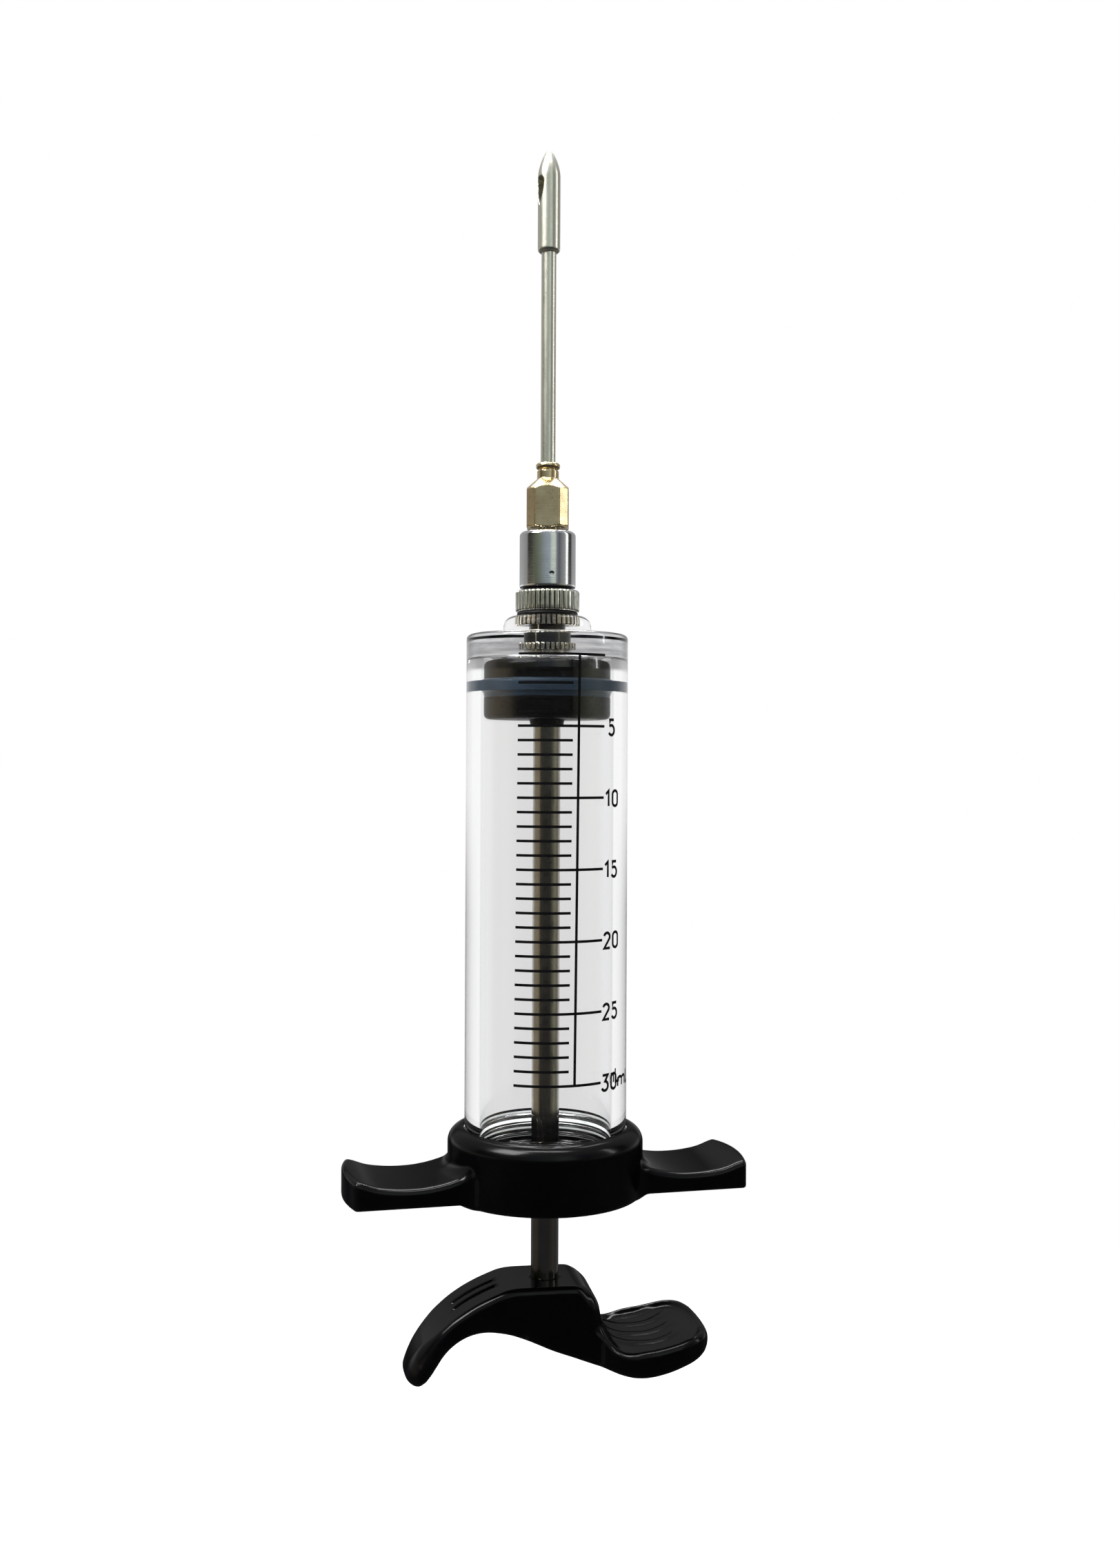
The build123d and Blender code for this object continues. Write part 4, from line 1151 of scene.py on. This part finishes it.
def build_floor():
    """Disc just below the lowest point the handle reaches with the plunger drawn out."""
    draw = max(j["range_m"][1] for j in frame["record"]["behaviour"]["joints"]
               if j["type"] == "slide" and j["name"] == "plunger_slide")
    z = float(cad_lo[2]) - draw - 0.0006
    n = 96
    radii = [0.05, 0.12, 0.25, 0.45, 0.8, 1.6]
    verts = [(0, 0, z)]
    for r in radii:
        verts += [(r * math.cos(TAU * i / n), r * math.sin(TAU * i / n), z) for i in range(n)]
    faces = [(0, 1 + i, 1 + (i + 1) % n) for i in range(n)]
    for k in range(len(radii) - 1):
        a, b = 1 + k * n, 1 + (k + 1) * n
        faces += [(a + i, b + i, b + (i + 1) % n, a + (i + 1) % n) for i in range(n)]
    mesh = bpy.data.meshes.new("floor")
    mesh.from_pydata(verts, [], faces)
    floor = bpy.data.objects.new("floor", mesh)
    scene.collection.objects.link(floor)
    mesh.materials.append(floor_material())
    floor.visible_glossy = False
    floor.visible_transmission = False


# world colours round the horizon: degrees (0 behind the camera, + right), grey or RGB
# upper band: what the polished nozzle parts mirror
SKY_HIGH = [
    (-180, 0.46), (-120, 0.36), (-100, 0.30), (-92, 0.24), (-87, 0.03),
    (-70, (0.03, 0.035, 0.03)), (-46, (0.14, 0.16, 0.11)), (-30, (0.21, 0.23, 0.19)),
    (-11, (0.31, 0.36, 0.39)), (10, (0.40, 0.45, 0.50)), (17, (0.68, 0.76, 0.69)),
    (32, (0.70, 0.78, 0.68)), (38, (0.23, 0.23, 0.27)), (50, (0.11, 0.11, 0.14)),
    (61, (0.22, 0.23, 0.25)), (77, (0.32, 0.33, 0.33)), (82, 0.8), (90, 0.8), (95, 0.04),
    (111, 0.04), (119, 0.32), (180, 0.46)]
# middle band: what shows through and in the clear barrel
SKY_MIDDLE = [
    (-180, (0.82, 0.81, 0.81)), (-166, (0.88, 0.87, 0.87)), (-150, 0.98), (-128, 1.0),
    (-112, 0.45), (-95, (0.50, 0.44, 0.34)), (-62, (0.40, 0.34, 0.25)), (-48, 0.05),
    (36, 0.05), (52, (0.20, 0.20, 0.15)), (78, (0.42, 0.42, 0.34)), (100, 0.25), (118, 0.5),
    (130, 1.0), (150, 0.98), (166, (0.88, 0.87, 0.87)), (180, (0.82, 0.81, 0.81))]


def build_world():
    """Studio that turns with the camera; the camera itself sees white."""
    world = bpy.data.worlds.new("studio")
    scene.world = world
    world.use_nodes = True
    t = NodeTree(world.node_tree)
    out = t.add("ShaderNodeOutputWorld")
    path = t.add("ShaderNodeLightPath").outputs
    incoming = t.add("ShaderNodeNewGeometry").outputs["Incoming"]
    parts = t.add("ShaderNodeSeparateXYZ", {0: incoming}).outputs
    ray_x, ray_y, ray_z = (t.times(parts[i], -1.0) for i in range(3))
    axis = t.add("ShaderNodeVectorTransform", {0: (0.0, 0.0, 1.0)}, vector_type="VECTOR",
                 convert_from="CAMERA", convert_to="WORLD").outputs[0]
    parts = t.add("ShaderNodeSeparateXYZ", {0: axis}).outputs
    axis_x, axis_y = parts[0], parts[1]
    right = t.calc("SUBTRACT", t.times(ray_x, axis_y), t.times(ray_y, axis_x))
    along = t.calc("ADD", t.times(ray_x, axis_x), t.times(ray_y, axis_y))
    bearing = t.calc("ARCTAN2", right, t.times(along, -1.0))
    turn = t.calc("ADD", t.times(bearing, 0.5 / math.pi), 0.5)

    def ramp(stops):
        node = t.add("ShaderNodeValToRGB", {0: turn})
        elements = node.color_ramp.elements
        while len(elements) < len(stops):
            elements.new(0.5)
        for element, (deg, color) in zip(elements, stops):
            element.position = (deg + 180) / 360
            element.color = (*(color if isinstance(color, tuple) else (color,) * 3), 1)
        return node.outputs[0]

    high, middle = ramp(SKY_HIGH), ramp(SKY_MIDDLE)
    color = t.mix(t.span(ray_z, over=(0.07, 0.11)), middle, high)
    # a broad soft light overhead
    color = t.mix(t.span(ray_z, over=(0.45, 0.75)), color, (0.42, 0.42, 0.44))
    # below the horizon mirrors see a dark table
    low = t.span(ray_z, over=(-0.02, -0.10))
    mirrored = t.times(path["Is Glossy Ray"],
                       t.calc("SUBTRACT", 0.92, path["Is Transmission Ray"]))
    low = t.times(low, t.calc("MAXIMUM", mirrored, 0.0))
    color = t.mix(low, color, (0.03, 0.03, 0.035))
    studio = t.add("ShaderNodeBackground", {"Color": color, "Strength": 1.0})
    white = t.add("ShaderNodeBackground", {"Color": (1, 1, 1), "Strength": 1.0})
    mixed = t.add("ShaderNodeMixShader", {0: path["Is Camera Ray"], 1: studio.outputs[0],
                                          2: white.outputs[0]})
    t.put(out.inputs[0], mixed.outputs[0])


def area(name, azimuth, elevation, distance, size, power):
    """Area light aimed at the barrel; azimuth in degrees from -Y towards +X."""
    target = Vector((0, 0, 0.07))
    data = bpy.data.lights.new(name, "AREA")
    data.shape = "RECTANGLE"
    data.size, data.size_y = size
    data.energy = power
    light = bpy.data.objects.new(name, data)
    a, e = math.radians(azimuth), math.radians(elevation)
    toward = Vector((math.sin(a) * math.cos(e), -math.cos(a) * math.cos(e), math.sin(e)))
    light.location = toward * distance + target
    aim = target - (toward * distance + target)
    light.rotation_euler = aim.to_track_quat("-Z", "Y").to_euler()
    scene.collection.objects.link(light)
    light.visible_camera = False


def build_lights():
    area("key_left", azimuth=-70, elevation=48, distance=0.9, size=(0.45, 0.45), power=9.0)
    area("top_back", azimuth=165, elevation=62, distance=0.9, size=(0.7, 0.35), power=9.0)
    area("fill_right", azimuth=73, elevation=22, distance=1.1, size=(0.07, 0.6), power=0.9)
    area("edge_top", azimuth=VIEW_AZ, elevation=74, distance=0.8, size=(0.55, 0.07), power=2.4)


def build_camera():
    distance, eye_z = 0.278, 0.0760
    azimuth, roll = math.radians(VIEW_AZ), math.radians(0.25)
    data = bpy.data.cameras.new("camera")
    camera = bpy.data.objects.new("camera", data)
    scene.collection.objects.link(camera)
    camera.location = (math.sin(azimuth) * distance, -math.cos(azimuth) * distance, eye_z)
    level = Vector((-math.sin(azimuth), math.cos(azimuth), 0)).to_track_quat("-Z", "Y")
    camera.rotation_mode = "QUATERNION"
    camera.rotation_quaternion = level @ Matrix.Rotation(roll, 3, "Z").to_quaternion()
    data.sensor_fit = "AUTO"
    data.sensor_width = 36.0
    data.lens = 36.364116
    data.shift_x, data.shift_y = 0.0084432718, -0.016270888
    data.clip_start, data.clip_end = 0.01, 20
    scene.camera = camera
    scene.view_settings.view_transform = "Standard"
    scene.view_settings.look = "None"


for build in (build_barrel, build_scale, build_insert, build_gasket, build_connector,
              build_sleeve, build_hub, build_tube, build_point, build_discs, build_seal,
              build_rod, build_grip, build_grip_thread, build_handle, dress_bushes,
              build_floor, build_world, build_lights, build_camera):
    build()
